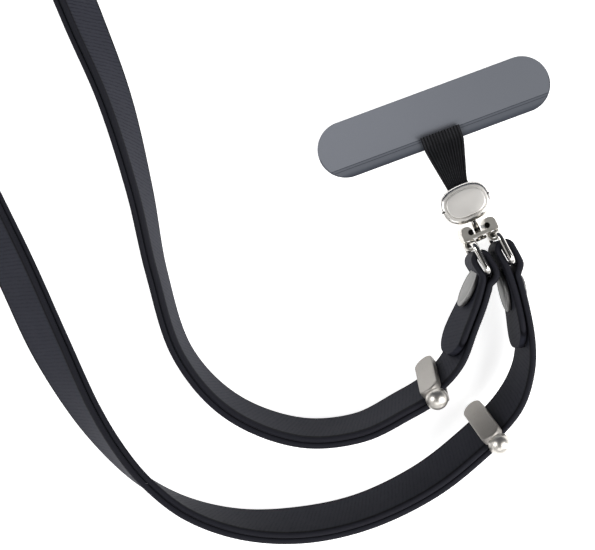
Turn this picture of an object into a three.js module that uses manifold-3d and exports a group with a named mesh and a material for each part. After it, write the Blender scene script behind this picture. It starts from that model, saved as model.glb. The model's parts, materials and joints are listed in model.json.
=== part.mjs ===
// Crossbody carrying strap: two leather bands on a ball-slider loop, a swivel and a card tether.
// Millimetres, +Z up. The strap lies as put down, standing on its long edge.
// The origin is the centre of the bounding box, at the height of the surface under it.

import * as THREE from 'three';
import { mergeVertices } from 'three/addons/utils/BufferGeometryUtils.js';
import Module from 'manifold-3d';

const wasm = await Module();
wasm.setup();

// Leather
const STRAP_WIDTH = 15;
const LEATHER = 1.4;
const LAYER_GAP = 0.35;
const EDGE_CHAMFER = 0.35;

// The loop as it lies: its size along X and along Y
const LOOP_SPREAD = 200;
const LOOP_REACH = 250;
// Height of the strap's lower edge where rings and sliders carry it
const SEAT_LIFT = 1.7;

// Folded ends
const FLAP_LENGTH_A = 25.5;
const FLAP_LENGTH_B = 24;
const TIP_RADIUS = 6.2;
const FOLD_GAP = 1.9;
// Length over which the main layer comes back to the flap past the ring's far bar
const BULGE_CLOSE = 2.9;

// Studs through the folded ends, placed from the start of the fold
const STUD_STATION_A = 9;
const STUD_STATION_B = 9.6;
const STUD_RADIUS = 5;
const STUD_HEAD = 0.9;
const STUD_BACK_RADIUS = 2.6;
const STUD_BACK = 0.8;
const STUD_SHANK_RADIUS = 1.4;

// Sliders, placed along the loop from each ring end
const SLIDER_STATION_A = 33.1;
const SLIDER_STATION_B = 45.5;
const SLIDER_TURN_A = THREE.MathUtils.degToRad(11);
const SLIDER_TURN_B = THREE.MathUtils.degToRad(4.5);
const SLIDER_BAR_WIDTH = 5;
const SLIDER_BAR_DEPTH = 1.9;
const SLIDER_BAR_BELOW = 9;
const SLIDER_BAR_ABOVE = 10.8;
const SLIDER_BODY_WIDTH = 3;
const SLIDER_CAP = 0.5;
const SLIDER_WALL = 0.7;
// Space over the strap's edges that lets the slider stand turned on it
const SLIDER_PLAY = 0.8;
// Space over the strap's faces that lets the slider pass its bends
const SLIDER_EASE = 0.5;
const BALL_RADIUS = 2.6;
const BALL_RISE = 10.5;
const BALL_FORWARD = 0.8;

// Wire rings
const WIRE_RADIUS = 0.65;
const RING_DEPTH = 7.6;
const RING_CORNER = 1.7;
const RING_PLAY = 0.4;
const RING_YAW = THREE.MathUtils.degToRad(3.6);
const RING_ROLL = THREE.MathUtils.degToRad(3);
const RING_SPACING = 6;
// Straight start of the strap in line with its ring
const STRAIGHT_END = 4.3;

// Swivel
const SWIVEL_HEADING = THREE.MathUtils.degToRad(24);
const PLATE_WIDTH = 8.7;
const PLATE_DEPTH = 3.3;
const PLATE_WALL = 0.9;
const PLATE_HEIGHT = 13;
const PLATE_NOTCH = 2.9;
const PLATE_CORNER = 1.4;
const KNUCKLE_HEIGHT = 6;
const KNUCKLE_WALL = 0.5;
const PIN_RADIUS = 0.72;
const PIN_HEAD_RADIUS = 1.35;
const PIN_HEAD = 0.7;

// Clasp and tether
const CLASP_DISTANCE = 7.4;
const CLASP_LENGTH = 11.9;
const CLASP_BREADTH = 9;
const CLASP_THICKNESS = 4.4;
const CLASP_RIM = 1.15;
const CLASP_FACE_RISE = 0.35;
const CLASP_SQUARENESS = 2.5;
const PIN_SEAT = 2.2;
const RIBBON_THICKNESS = 0.9;
const RIBBON_NECK = 5.2;
const RIBBON_FOOT = 9.6;
const RIBBON_SEAT = 1.6;
const RIBBON_LAP = 3;
const PATCH_LENGTH = 57.5;
const PATCH_WIDTH = 13.3;
const PATCH_THICKNESS = 0.6;
const PATCH_DISTANCE = 28.9;
const PATCH_SHIFT = 2.1;
const PATCH_YAW = THREE.MathUtils.degToRad(3.7);

// Running gap between pieces that touch in use
const CLEARANCE = 0.3;

// Meshing
const FLAP_STEP = 2;
const BULGE_STEP = 1;
const NEAR_STEP = 4;
const FAR_STEP = 9;
// Share of the loop at each end that is cut in near steps
const NEAR_SHARE = 0.22;
const FOLD_STEPS = 8;

// Middle line of the loop, from the first ring round to the second. x and y are shares of
// LOOP_SPREAD and LOOP_REACH from the swivel plate, lean is in degrees, lift a share of SEAT_LIFT.
const ROUTE = [
  { x: 0.0045, y: -0.0612, lean: 11, lift: 1 },
  { x: -0.011, y: -0.0896, lean: 15, lift: 1 },
  { x: -0.0275, y: -0.1208, lean: 15.5, lift: 1 },
  { x: -0.056, y: -0.1452, lean: 15.5, lift: 1 },
  { x: -0.0895, y: -0.1616, lean: 15.5, lift: 1 },
  { x: -0.1375, y: -0.1808, lean: 14.5, lift: 0.75 },
  { x: -0.2065, y: -0.1856, lean: 14.5, lift: 0.4 },
  { x: -0.286, y: -0.1616, lean: 11.5, lift: 0.1 },
  { x: -0.342, y: -0.1132, lean: 7, lift: 0 },
  { x: -0.373, y: -0.0376, lean: 6.5, lift: 0 },
  { x: -0.3925, y: 0.038, lean: 11.5, lift: 0 },
  { x: -0.422, y: 0.124, lean: 20, lift: 0 },
  { x: -0.46, y: 0.2004, lean: 27, lift: 0 },
  { x: -0.502, y: 0.284, lean: 26, lift: 0 },
  { x: -0.538, y: 0.382, lean: 18, lift: 0 },
  { x: -0.564, y: 0.488, lean: 10, lift: 0 },
  { x: -0.592, y: 0.594, lean: 4, lift: 0 },
  { x: -0.639, y: 0.696, lean: 2, lift: 0 },
  { x: -0.719, y: 0.757, lean: 2, lift: 0 },
  { x: -0.826, y: 0.749, lean: 2, lift: 0 },
  { x: -0.893, y: 0.678, lean: 3, lift: 0 },
  { x: -0.897, y: 0.578, lean: 6, lift: 0 },
  { x: -0.853, y: 0.466, lean: 12, lift: 0 },
  { x: -0.7895, y: 0.354, lean: 22, lift: 0 },
  { x: -0.7245, y: 0.254, lean: 31, lift: 0 },
  { x: -0.656, y: 0.158, lean: 36, lift: 0 },
  { x: -0.5745, y: 0.0244, lean: 38, lift: 0 },
  { x: -0.5365, y: -0.0372, lean: 37, lift: 0 },
  { x: -0.497, y: -0.106, lean: 35, lift: 0 },
  { x: -0.451, y: -0.1716, lean: 22, lift: 0 },
  { x: -0.412, y: -0.212, lean: 12, lift: 0 },
  { x: -0.381, y: -0.2352, lean: 5, lift: 0 },
  { x: -0.337, y: -0.2568, lean: -4.5, lift: 0 },
  { x: -0.276, y: -0.2708, lean: -13, lift: 0.1 },
  { x: -0.2065, y: -0.2716, lean: -20, lift: 0.35 },
  { x: -0.136, y: -0.2596, lean: -21, lift: 0.7 },
  { x: -0.0655, y: -0.2328, lean: -22, lift: 0.95 },
  { x: -0.015, y: -0.2024, lean: -22, lift: 1 },
  { x: 0.037, y: -0.1604, lean: -20.5, lift: 1 },
  { x: 0.055, y: -0.1272, lean: -13, lift: 1 },
  { x: 0.058, y: -0.0992, lean: -9, lift: 1 },
  { x: 0.052, y: -0.0632, lean: -6, lift: 1 },
];

const METAL = { color: 0xa8a5a0, roughness: 0.32, metalness: 1 };
const POLISHED = { color: 0xc9c6c2, roughness: 0.12, metalness: 1 };
const LEATHER_BLACK = { color: 0x26262b, roughness: 0.6, metalness: 0 };
const RIBBON_BLACK = { color: 0x101012, roughness: 0.85, metalness: 0 };
const PATCH_GREY = { color: 0x777b82, roughness: 0.5, metalness: 0 };

const UP = new THREE.Vector3(0, 0, 1);
const DEGREE = Math.PI / 180;

// Solids

function toSolid(geometry) {
  const bare = geometry.clone();
  bare.deleteAttribute('normal');
  bare.deleteAttribute('uv');
  const merged = mergeVertices(bare, 1e-4);
  return new wasm.Manifold(new wasm.Mesh({
    numProp: 3,
    vertProperties: new Float32Array(merged.attributes.position.array),
    triVerts: new Uint32Array(merged.index.array),
  }));
}

function toGeometry(solid) {
  const mesh = solid.getMesh();
  const geometry = new THREE.BufferGeometry();
  geometry.setAttribute('position', new THREE.BufferAttribute(new Float32Array(mesh.vertProperties), 3));
  geometry.setIndex(new THREE.BufferAttribute(new Uint32Array(mesh.triVerts), 1));
  geometry.computeVertexNormals();
  return geometry;
}

function piece(name, geometry, finish) {
  const mesh = new THREE.Mesh(geometry, new THREE.MeshStandardMaterial(finish));
  mesh.name = name;
  return mesh;
}

// Matrix that takes local x, y, z to the three given directions at a point
function placement(origin, x, y, z) {
  return new THREE.Matrix4().makeBasis(x, y, z).setPosition(origin);
}

function mix(a, b, share) {
  return a + (b - a) * share;
}

// Swivel frame: forward runs from the clasp to the leather, side runs across the plate

const plateCentre = new THREE.Vector3(0, 0, STRAP_WIDTH / 2 + SEAT_LIFT);
const forward = new THREE.Vector3(Math.sin(SWIVEL_HEADING), -Math.cos(SWIVEL_HEADING), 0);
const side = new THREE.Vector3(Math.cos(SWIVEL_HEADING), Math.sin(SWIVEL_HEADING), 0);

const ringForward = forward.clone().applyAxisAngle(UP, RING_YAW);
const ringUp = UP.clone().applyAxisAngle(ringForward, -RING_ROLL);
const ringSide = new THREE.Vector3().crossVectors(ringUp, ringForward);
const knuckleBore = WIRE_RADIUS + CLEARANCE;
const knuckleRadius = knuckleBore + KNUCKLE_WALL;

// Middle of a ring's bar in its knuckle; hand is -1 for the first ring and 1 for the second
function ringBar(hand) {
  return plateCentre.clone()
    .addScaledVector(forward, PLATE_WALL + knuckleBore)
    .addScaledVector(side, hand * RING_SPACING / 2);
}

// Where the loop's middle line ends at a ring: beside the ring, past the turn of the fold
const foldRadius = (LEATHER + FOLD_GAP) / 2;
const layerOffset = (LEATHER + LAYER_GAP) / 2;
const flapOffset = layerOffset + LEATHER + LAYER_GAP;
const turnOffset = flapOffset - foldRadius;
const turnDistance = knuckleRadius + CLEARANCE + LEATHER / 2 + foldRadius;

function routeEnd(hand) {
  return ringBar(hand)
    .addScaledVector(ringForward, turnDistance)
    .addScaledVector(ringSide, turnOffset);
}

// The loop's middle line

function routePoints() {
  const start = routeEnd(-1);
  const finish = routeEnd(1);
  const points = [{ at: start, lean: RING_ROLL, lift: SEAT_LIFT }];
  points.push({ at: start.clone().addScaledVector(ringForward, STRAIGHT_END), lean: RING_ROLL, lift: SEAT_LIFT });
  for (const row of ROUTE) {
    const at = new THREE.Vector3(row.x * LOOP_SPREAD, row.y * LOOP_REACH, 0);
    points.push({ at, lean: row.lean * DEGREE, lift: row.lift * SEAT_LIFT });
  }
  points.push({ at: finish.clone().addScaledVector(ringForward, STRAIGHT_END), lean: -RING_ROLL, lift: SEAT_LIFT });
  points.push({ at: finish, lean: -RING_ROLL, lift: SEAT_LIFT });
  return points;
}

const knots = routePoints();
const planCurve = new THREE.CatmullRomCurve3(knots.map((knot) => new THREE.Vector3(knot.at.x, knot.at.y, 0)));
planCurve.arcLengthDivisions = 4000;
const loopLength = planCurve.getLength();

// Lean and lift run smoothly between the same knots as the plan curve
const poseCurve = new THREE.CatmullRomCurve3(knots.map((knot, i) => new THREE.Vector3(i, knot.lean, knot.lift)));

// Frame of the doubled strap at a distance along the loop: a point at mid-width, the direction
// along, the direction across the layers and the direction up the band's width
function frameAt(distance) {
  const share = Math.min(Math.max(distance / loopLength, 0), 1);
  const t = planCurve.getUtoTmapping(share);
  const point = planCurve.getPoint(t);
  const along = planCurve.getTangent(t);
  const pose = poseCurve.getPoint(t);
  const right = new THREE.Vector3(along.y, -along.x, 0);
  const up = UP.clone().multiplyScalar(Math.cos(pose.y)).addScaledVector(right, -Math.sin(pose.y));
  const across = right.clone().multiplyScalar(Math.cos(pose.y)).addScaledVector(UP, Math.sin(pose.y));
  const slant = Math.abs(Math.sin(pose.y)) * (LEATHER + LAYER_GAP / 2);
  point.z = Math.cos(pose.y) * STRAP_WIDTH / 2 + slant + Math.max(pose.z, 0);
  return { point, along, across, up };
}

// Leather bands

// A strip with chamfered long edges through a list of stations. The second band, hand -1, is
// mirrored across its thickness, so that twisted faces of both split along the same diagonals.
function strip(stations, hand) {
  const last = stations.length - 1;
  const box = new THREE.BoxGeometry(1, 1, 1, last, 1, 3);
  const position = box.attributes.position;
  const vertex = new THREE.Vector3();
  const frames = stations.map((station, i) => {
    const ahead = stations[Math.min(i + 1, last)].centre;
    const behind = stations[Math.max(i - 1, 0)].centre;
    const along = ahead.clone().sub(behind);
    const across = new THREE.Vector3().crossVectors(station.up, along).normalize();
    return { ...station, across };
  });
  for (let k = 0; k < position.count; k += 1) {
    vertex.fromBufferAttribute(position, k);
    const frame = frames[Math.round((vertex.x + 0.5) * last)];
    const row = Math.round((vertex.z + 0.5) * 3);
    const isEdge = row === 0 || row === 3;
    const height = Math.sign(vertex.z) * (frame.half - (isEdge ? 0 : EDGE_CHAMFER));
    const depth = hand * Math.sign(vertex.y) * (LEATHER / 2 - (isEdge ? EDGE_CHAMFER : 0));
    const placed = frame.centre.clone().addScaledVector(frame.across, depth).addScaledVector(frame.up, height);
    position.setXYZ(k, placed.x, placed.y, placed.z);
  }
  if (hand < 0) {
    const corners = box.index;
    for (let k = 0; k < corners.count; k += 3) {
      const first = corners.getX(k);
      corners.setX(k, corners.getX(k + 1));
      corners.setX(k + 1, first);
    }
  }
  return box;
}

// Half-width of a band at a distance from its rounded tip
function tipHalf(fromTip) {
  if (fromTip >= TIP_RADIUS) {
    return STRAP_WIDTH / 2;
  }
  const inward = TIP_RADIUS - fromTip;
  return STRAP_WIDTH / 2 - TIP_RADIUS + Math.sqrt(TIP_RADIUS ** 2 - inward ** 2);
}

// How far the main layer stands off the folded flap to pass round the ring's far bar
function ringBulge(distance) {
  const pastWire = RING_DEPTH + WIRE_RADIUS - turnDistance;
  return (FOLD_GAP - LAYER_GAP) * (1 - THREE.MathUtils.smoothstep(distance, pastWire, pastWire + BULGE_CLOSE));
}

// Distances along the loop where both bands have a cross-section, the same from either end
function runDistances() {
  const near = NEAR_SHARE * loopLength;
  const nearSteps = Math.ceil(near / NEAR_STEP);
  const farSteps = Math.ceil((loopLength - 2 * near) / FAR_STEP);
  const distances = [];
  for (let i = 0; i < nearSteps; i += 1) {
    distances.push(near * i / nearSteps);
  }
  for (let i = 0; i < farSteps; i += 1) {
    distances.push(mix(near, loopLength - near, i / farSteps));
  }
  for (let i = 0; i <= nearSteps; i += 1) {
    distances.push(mix(loopLength - near, loopLength, i / nearSteps));
  }
  return distances;
}

// One band, from its flap tip round the fold and along the loop to its free end.
// end holds the ring end's own values: hand 1 is the first ring's band, -1 the second's.
function bandStations(end) {
  const stations = [];
  const frameFrom = (distance) => frameAt(end.hand > 0 ? distance : loopLength - distance);
  const flapDistances = [];
  const tipSteps = 6;
  for (let i = 0; i < tipSteps; i += 1) {
    flapDistances.push(end.flapLength - TIP_RADIUS * (1 - Math.cos((i + 0.35) / tipSteps * Math.PI / 2)));
  }
  for (let distance = end.flapLength - TIP_RADIUS; distance > FLAP_STEP / 2; distance -= FLAP_STEP) {
    flapDistances.push(distance);
  }
  for (const distance of flapDistances) {
    const frame = frameFrom(distance);
    const centre = frame.point.clone().addScaledVector(frame.across, end.hand * flapOffset);
    stations.push({ centre, up: frame.up, half: tipHalf(end.flapLength - distance) });
  }
  const start = frameFrom(0);
  const turn = start.point.clone().addScaledVector(start.across, end.hand * turnOffset);
  for (let i = 0; i <= FOLD_STEPS; i += 1) {
    const angle = Math.PI * i / FOLD_STEPS;
    const centre = turn.clone()
      .addScaledVector(start.across, end.hand * foldRadius * Math.cos(angle))
      .addScaledVector(start.along, -end.hand * foldRadius * Math.sin(angle));
    stations.push({ centre, up: start.up, half: STRAP_WIDTH / 2 });
  }
  const mainLength = loopLength - end.farStation - SLIDER_BODY_WIDTH / 4;
  const bulgeSteps = Math.ceil(end.studStation / BULGE_STEP);
  const mainDistances = [];
  for (let i = 1; i <= bulgeSteps; i += 1) {
    mainDistances.push(end.studStation * i / bulgeSteps);
  }
  const doubledSteps = Math.ceil((end.flapLength - end.studStation) / FLAP_STEP);
  for (let i = 1; i <= doubledSteps; i += 1) {
    mainDistances.push(mix(end.studStation, end.flapLength, i / doubledSteps));
  }
  const margin = NEAR_STEP / 4;
  const isOpenRun = (distance) => distance > end.flapLength + margin && distance < mainLength - margin;
  mainDistances.push(...runDistances().filter(isOpenRun), mainLength);
  for (const distance of mainDistances) {
    const frame = frameFrom(distance);
    const offset = layerOffset - ringBulge(distance);
    const centre = frame.point.clone().addScaledVector(frame.across, end.hand * offset);
    stations.push({ centre, up: frame.up, half: STRAP_WIDTH / 2 });
  }
  return stations;
}

// Frame of a stud: z points out of the flap's face, origin on that face
function studPlacement(end) {
  const frame = frameAt(end.hand > 0 ? end.studStation : loopLength - end.studStation);
  const offset = flapOffset + LEATHER / 2;
  const outward = frame.across.clone().multiplyScalar(end.hand);
  const origin = frame.point.clone().addScaledVector(outward, offset);
  const sideways = new THREE.Vector3().crossVectors(frame.up, outward);
  return placement(origin, sideways, frame.up, outward);
}

function band(name, end) {
  const depth = 2 * LEATHER + LAYER_GAP;
  // The drilled hole, then the seats that the head and the back disc press into the leather
  const cuts = [
    { radius: STUD_SHANK_RADIUS + CLEARANCE / 2, from: -1.5 * depth, to: depth / 2 },
    { radius: STUD_RADIUS + CLEARANCE, from: 0, to: LEATHER },
    { radius: STUD_BACK_RADIUS + CLEARANCE, from: -depth - LEATHER, to: -depth },
  ];
  let leather = toSolid(strip(bandStations(end), end.hand));
  for (const cut of cuts) {
    const plug = new THREE.CylinderGeometry(cut.radius, cut.radius, cut.to - cut.from, 20);
    plug.rotateX(Math.PI / 2);
    plug.translate(0, 0, (cut.from + cut.to) / 2);
    plug.applyMatrix4(studPlacement(end));
    leather = leather.subtract(toSolid(plug));
  }
  return piece(name, toGeometry(leather), LEATHER_BLACK);
}

// A disc head, a shank through both layers and a small back disc, in one piece
function stud(name, end) {
  const back = -(2 * LEATHER + LAYER_GAP + CLEARANCE);
  const top = CLEARANCE + STUD_HEAD;
  const bevel = 0.25;
  const profile = [
    [0, back - STUD_BACK],
    [STUD_BACK_RADIUS - bevel, back - STUD_BACK],
    [STUD_BACK_RADIUS, back - STUD_BACK + bevel],
    [STUD_BACK_RADIUS, back],
    [STUD_SHANK_RADIUS, back],
    [STUD_SHANK_RADIUS, CLEARANCE],
    [STUD_RADIUS, CLEARANCE],
    [STUD_RADIUS, top - bevel],
    [STUD_RADIUS - bevel, top],
    [0, top],
  ].map(([radius, height]) => new THREE.Vector2(radius, height));
  const geometry = new THREE.LatheGeometry(profile, 24);
  geometry.rotateX(Math.PI / 2);
  const mesh = piece(name, geometry, METAL);
  mesh.applyMatrix4(studPlacement(end));
  return mesh;
}

// Sliders

function pill(width, length) {
  const radius = width / 2;
  const straight = length / 2 - radius;
  const shape = new THREE.Shape();
  shape.moveTo(radius, -straight);
  shape.lineTo(radius, straight);
  shape.absarc(0, straight, radius, 0, Math.PI, false);
  shape.lineTo(-radius, -straight);
  shape.absarc(0, -straight, radius, Math.PI, 2 * Math.PI, false);
  return shape;
}

function roundedRectangle(width, height, corner) {
  const x = width / 2 - corner;
  const y = height / 2 - corner;
  const shape = new THREE.Shape();
  shape.moveTo(x + corner, -y);
  shape.lineTo(x + corner, y);
  shape.absarc(x, y, corner, 0, Math.PI / 2, false);
  shape.lineTo(-x, y + corner);
  shape.absarc(-x, y, corner, Math.PI / 2, Math.PI, false);
  shape.lineTo(-x - corner, -y);
  shape.absarc(-x, -y, corner, Math.PI, 1.5 * Math.PI, false);
  shape.lineTo(x, -y - corner);
  shape.absarc(x, -y, corner, 1.5 * Math.PI, 2 * Math.PI, false);
  return shape;
}

// Local x runs along the strap, y up its width and z out of the face that the bar covers
function sliderSolid() {
  const stack = 2 * LEATHER + LAYER_GAP;
  const inner = { depth: stack + 2 * SLIDER_EASE, height: STRAP_WIDTH + 2 * SLIDER_PLAY };
  const frameShape = roundedRectangle(inner.depth + 2 * SLIDER_WALL, inner.height + 2 * SLIDER_CAP, 1);
  frameShape.holes.push(roundedRectangle(inner.depth, inner.height, 0.2));
  const frame = new THREE.ExtrudeGeometry(frameShape, {
    depth: SLIDER_BODY_WIDTH, bevelEnabled: false, curveSegments: 3,
  });
  frame.translate(0, 0, -SLIDER_BODY_WIDTH / 2);
  frame.rotateY(Math.PI / 2);
  const bevel = 0.45;
  const barLength = SLIDER_BAR_BELOW + SLIDER_BAR_ABOVE;
  const bar = new THREE.ExtrudeGeometry(pill(SLIDER_BAR_WIDTH - 2 * bevel, barLength - 2 * bevel), {
    depth: SLIDER_BAR_DEPTH - bevel,
    bevelThickness: bevel,
    bevelSize: bevel,
    bevelSegments: 2,
    curveSegments: 8,
  });
  bar.translate(0, (SLIDER_BAR_ABOVE - SLIDER_BAR_BELOW) / 2, inner.depth / 2);
  const ball = new THREE.SphereGeometry(BALL_RADIUS, 14, 10);
  ball.translate(0, BALL_RISE, BALL_FORWARD);
  // The bar's rear bevel would reach the leather, so the strap's own space is cut out last
  const space = new THREE.BoxGeometry(3 * SLIDER_BAR_WIDTH, inner.height, inner.depth);
  return toSolid(frame).add(toSolid(bar)).add(toSolid(ball)).subtract(toSolid(space));
}

// hand 1 is the slider near the first ring, -1 the one near the second. turn leans the ball's end
// away from the ring.
function slider(name, hand, station, turn) {
  const frame = frameAt(hand > 0 ? station : loopLength - station);
  const outward = frame.across.clone().multiplyScalar(hand);
  const along = new THREE.Vector3().crossVectors(frame.up, outward);
  const mesh = piece(name, toGeometry(sliderSolid()), METAL);
  mesh.rotateZ(-turn);
  mesh.applyMatrix4(placement(frame.point, along, frame.up, outward));
  return mesh;
}

// Rings

// Closed round wire on a path of points with outward directions, all in the local XY plane
function closedWire(path, radius) {
  const sides = 8;
  const torus = new THREE.TorusGeometry(1, 0.5, sides, path.length);
  const position = torus.attributes.position;
  for (let k = 0; k < position.count; k += 1) {
    const around = Math.floor(k / (path.length + 1)) / sides * 2 * Math.PI;
    const spot = path[k % (path.length + 1) % path.length];
    const reach = radius * Math.cos(around);
    position.setXYZ(k, spot.x + spot.outX * reach, spot.y + spot.outY * reach, radius * Math.sin(around));
  }
  return torus;
}

function ring(name, hand) {
  const height = STRAP_WIDTH + 2 * RING_PLAY + 2 * WIRE_RADIUS;
  const cornerSteps = 5;
  const path = [];
  const corners = [
    { x: RING_DEPTH - RING_CORNER, y: height / 2 - RING_CORNER, from: 0 },
    { x: RING_CORNER, y: height / 2 - RING_CORNER, from: 90 },
    { x: RING_CORNER, y: -height / 2 + RING_CORNER, from: 180 },
    { x: RING_DEPTH - RING_CORNER, y: -height / 2 + RING_CORNER, from: 270 },
  ];
  for (const corner of corners) {
    for (let i = 0; i <= cornerSteps; i += 1) {
      const angle = (corner.from + 90 * i / cornerSteps) * DEGREE;
      const outX = Math.cos(angle);
      const outY = Math.sin(angle);
      path.push({ x: corner.x + RING_CORNER * outX, y: corner.y + RING_CORNER * outY, outX, outY });
    }
  }
  const mesh = piece(name, closedWire(path, WIRE_RADIUS), POLISHED);
  mesh.applyMatrix4(placement(ringBar(hand), ringForward, ringUp, ringSide.clone().negate()));
  return mesh;
}

// Swivel plate and pin

// Local x runs across the plate, y from the leather to the clasp and z up
const swivelPlacement = placement(plateCentre, side, forward.clone().negate(), UP);

function upright(shape, height, options = {}) {
  const geometry = new THREE.ExtrudeGeometry(shape, { depth: height, bevelEnabled: false, ...options });
  geometry.translate(0, 0, -height / 2);
  return geometry;
}

function swivelPlate() {
  const front = PLATE_DEPTH - PLATE_WALL;
  const half = PLATE_WIDTH / 2;
  const outline = new THREE.Shape();
  outline.moveTo(-half, -PLATE_WALL);
  outline.lineTo(half, -PLATE_WALL);
  outline.lineTo(half, front - PLATE_CORNER);
  outline.absarc(half - PLATE_CORNER, front - PLATE_CORNER, PLATE_CORNER, 0, Math.PI / 2, false);
  outline.absarc(PLATE_NOTCH / 2 + PLATE_CORNER, front - PLATE_CORNER, PLATE_CORNER, Math.PI / 2, Math.PI, false);
  outline.lineTo(PLATE_NOTCH / 2, 0);
  outline.lineTo(-PLATE_NOTCH / 2, 0);
  outline.lineTo(-PLATE_NOTCH / 2, front - PLATE_CORNER);
  outline.absarc(-PLATE_NOTCH / 2 - PLATE_CORNER, front - PLATE_CORNER, PLATE_CORNER, 0, Math.PI / 2, false);
  outline.lineTo(-half + PLATE_CORNER, front);
  outline.absarc(-half + PLATE_CORNER, front - PLATE_CORNER, PLATE_CORNER, Math.PI / 2, Math.PI, false);
  let body = toSolid(upright(outline, PLATE_HEIGHT, { curveSegments: 4 }));
  const fromWorld = swivelPlacement.clone().invert();
  const bars = [-1, 1].map((hand) => ringBar(hand).applyMatrix4(fromWorld));
  for (const bar of bars) {
    const knuckle = new THREE.CylinderGeometry(knuckleRadius, knuckleRadius, KNUCKLE_HEIGHT, 20);
    knuckle.rotateX(Math.PI / 2);
    knuckle.translate(bar.x, bar.y, 0);
    body = body.add(toSolid(knuckle));
  }
  for (const [i, bar] of bars.entries()) {
    const bore = new THREE.CylinderGeometry(knuckleBore, knuckleBore, 2 * PLATE_HEIGHT, 16);
    bore.rotateX(Math.PI / 2);
    bore.translate(bar.x, bar.y, 0);
    body = body.subtract(toSolid(bore));
  }
  const hole = new THREE.CylinderGeometry(PIN_RADIUS + CLEARANCE, PIN_RADIUS + CLEARANCE, 4 * PLATE_DEPTH, 16);
  body = body.subtract(toSolid(hole));
  const mesh = piece('swivel_plate', toGeometry(body), METAL);
  mesh.applyMatrix4(swivelPlacement);
  return mesh;
}

// A headed pin along the plate's hole, its plain end seated in the clasp
function swivelPin() {
  const headBack = -PLATE_WALL - CLEARANCE - PIN_HEAD;
  const tip = CLASP_DISTANCE - CLASP_BREADTH / 2 + PIN_SEAT;
  const profile = [
    [0, headBack],
    [PIN_HEAD_RADIUS, headBack],
    [PIN_HEAD_RADIUS, headBack + PIN_HEAD],
    [PIN_RADIUS, headBack + PIN_HEAD],
    [PIN_RADIUS, tip],
    [0, tip],
  ].map(([radius, height]) => new THREE.Vector2(radius, height));
  const mesh = piece('swivel_pin', new THREE.LatheGeometry(profile, 16), METAL);
  mesh.applyMatrix4(swivelPlacement);
  return mesh;
}

// Clasp, ribbon and patch, in the swivel's local frame

function oval(length, breadth) {
  const shape = new THREE.Shape();
  const steps = 32;
  for (let i = 0; i < steps; i += 1) {
    const angle = i / steps * 2 * Math.PI;
    const cos = Math.cos(angle);
    const sin = Math.sin(angle);
    const x = Math.sign(cos) * Math.abs(cos) ** (2 / CLASP_SQUARENESS) * length / 2;
    const y = Math.sign(sin) * Math.abs(sin) ** (2 / CLASP_SQUARENESS) * breadth / 2;
    if (i === 0) {
      shape.moveTo(x, y);
    } else {
      shape.lineTo(x, y);
    }
  }
  return shape;
}

function ovalClasp() {
  const rimBevel = 1.1;
  const rim = new THREE.ExtrudeGeometry(oval(CLASP_LENGTH - 2 * rimBevel, CLASP_BREADTH - 2 * rimBevel), {
    depth: CLASP_THICKNESS - 2 * rimBevel,
    bevelThickness: rimBevel,
    bevelSize: rimBevel,
    bevelSegments: 3,
  });
  rim.translate(0, CLASP_DISTANCE, -CLASP_THICKNESS / 2 + rimBevel);
  const faceBevel = 0.3;
  const inset = 2 * (CLASP_RIM + faceBevel);
  const face = new THREE.ExtrudeGeometry(oval(CLASP_LENGTH - inset, CLASP_BREADTH - inset), {
    depth: CLASP_THICKNESS + 2 * (CLASP_FACE_RISE - faceBevel),
    bevelThickness: faceBevel,
    bevelSize: faceBevel,
    bevelSegments: 2,
  });
  face.translate(0, CLASP_DISTANCE, -CLASP_THICKNESS / 2 - CLASP_FACE_RISE + faceBevel);
  const bore = new THREE.CylinderGeometry(PIN_RADIUS + CLEARANCE, PIN_RADIUS + CLEARANCE, CLASP_BREADTH, 16);
  bore.translate(0, CLASP_DISTANCE - CLASP_BREADTH / 2 + PIN_SEAT + CLEARANCE - CLASP_BREADTH / 2, 0);
  const mouthDepth = RIBBON_SEAT + CLEARANCE;
  const mouth = new THREE.BoxGeometry(
    RIBBON_NECK + 2 * CLEARANCE, 2 * mouthDepth, RIBBON_THICKNESS + 2 * CLEARANCE);
  mouth.translate(0, CLASP_DISTANCE + CLASP_BREADTH / 2, 0);
  const body = toSolid(rim).add(toSolid(face)).subtract(toSolid(bore)).subtract(toSolid(mouth));
  const mesh = piece('oval_clasp', toGeometry(body), POLISHED);
  mesh.applyMatrix4(swivelPlacement);
  return mesh;
}

// The patch lies on the surface; its own frame is turned a little from the swivel's
function patchPlacement() {
  const across = side.clone().applyAxisAngle(UP, -PATCH_YAW);
  const away = forward.clone().negate().applyAxisAngle(UP, -PATCH_YAW);
  const origin = plateCentre.clone()
    .addScaledVector(forward, -PATCH_DISTANCE)
    .addScaledVector(side, PATCH_SHIFT)
    .setZ(0);
  return placement(origin, across, away, UP);
}

function tetherPatch() {
  const outline = pill(PATCH_WIDTH, PATCH_LENGTH);
  const bevel = 0.12;
  const geometry = new THREE.ExtrudeGeometry(outline, {
    depth: PATCH_THICKNESS - 2 * bevel,
    bevelThickness: bevel,
    bevelSize: bevel,
    bevelOffset: -bevel,
    bevelSegments: 1,
    curveSegments: 12,
  });
  geometry.rotateZ(Math.PI / 2);
  geometry.translate(0, 0, bevel);
  const mesh = piece('tether_patch', geometry, PATCH_GREY);
  mesh.applyMatrix4(patchPlacement());
  return mesh;
}

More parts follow.
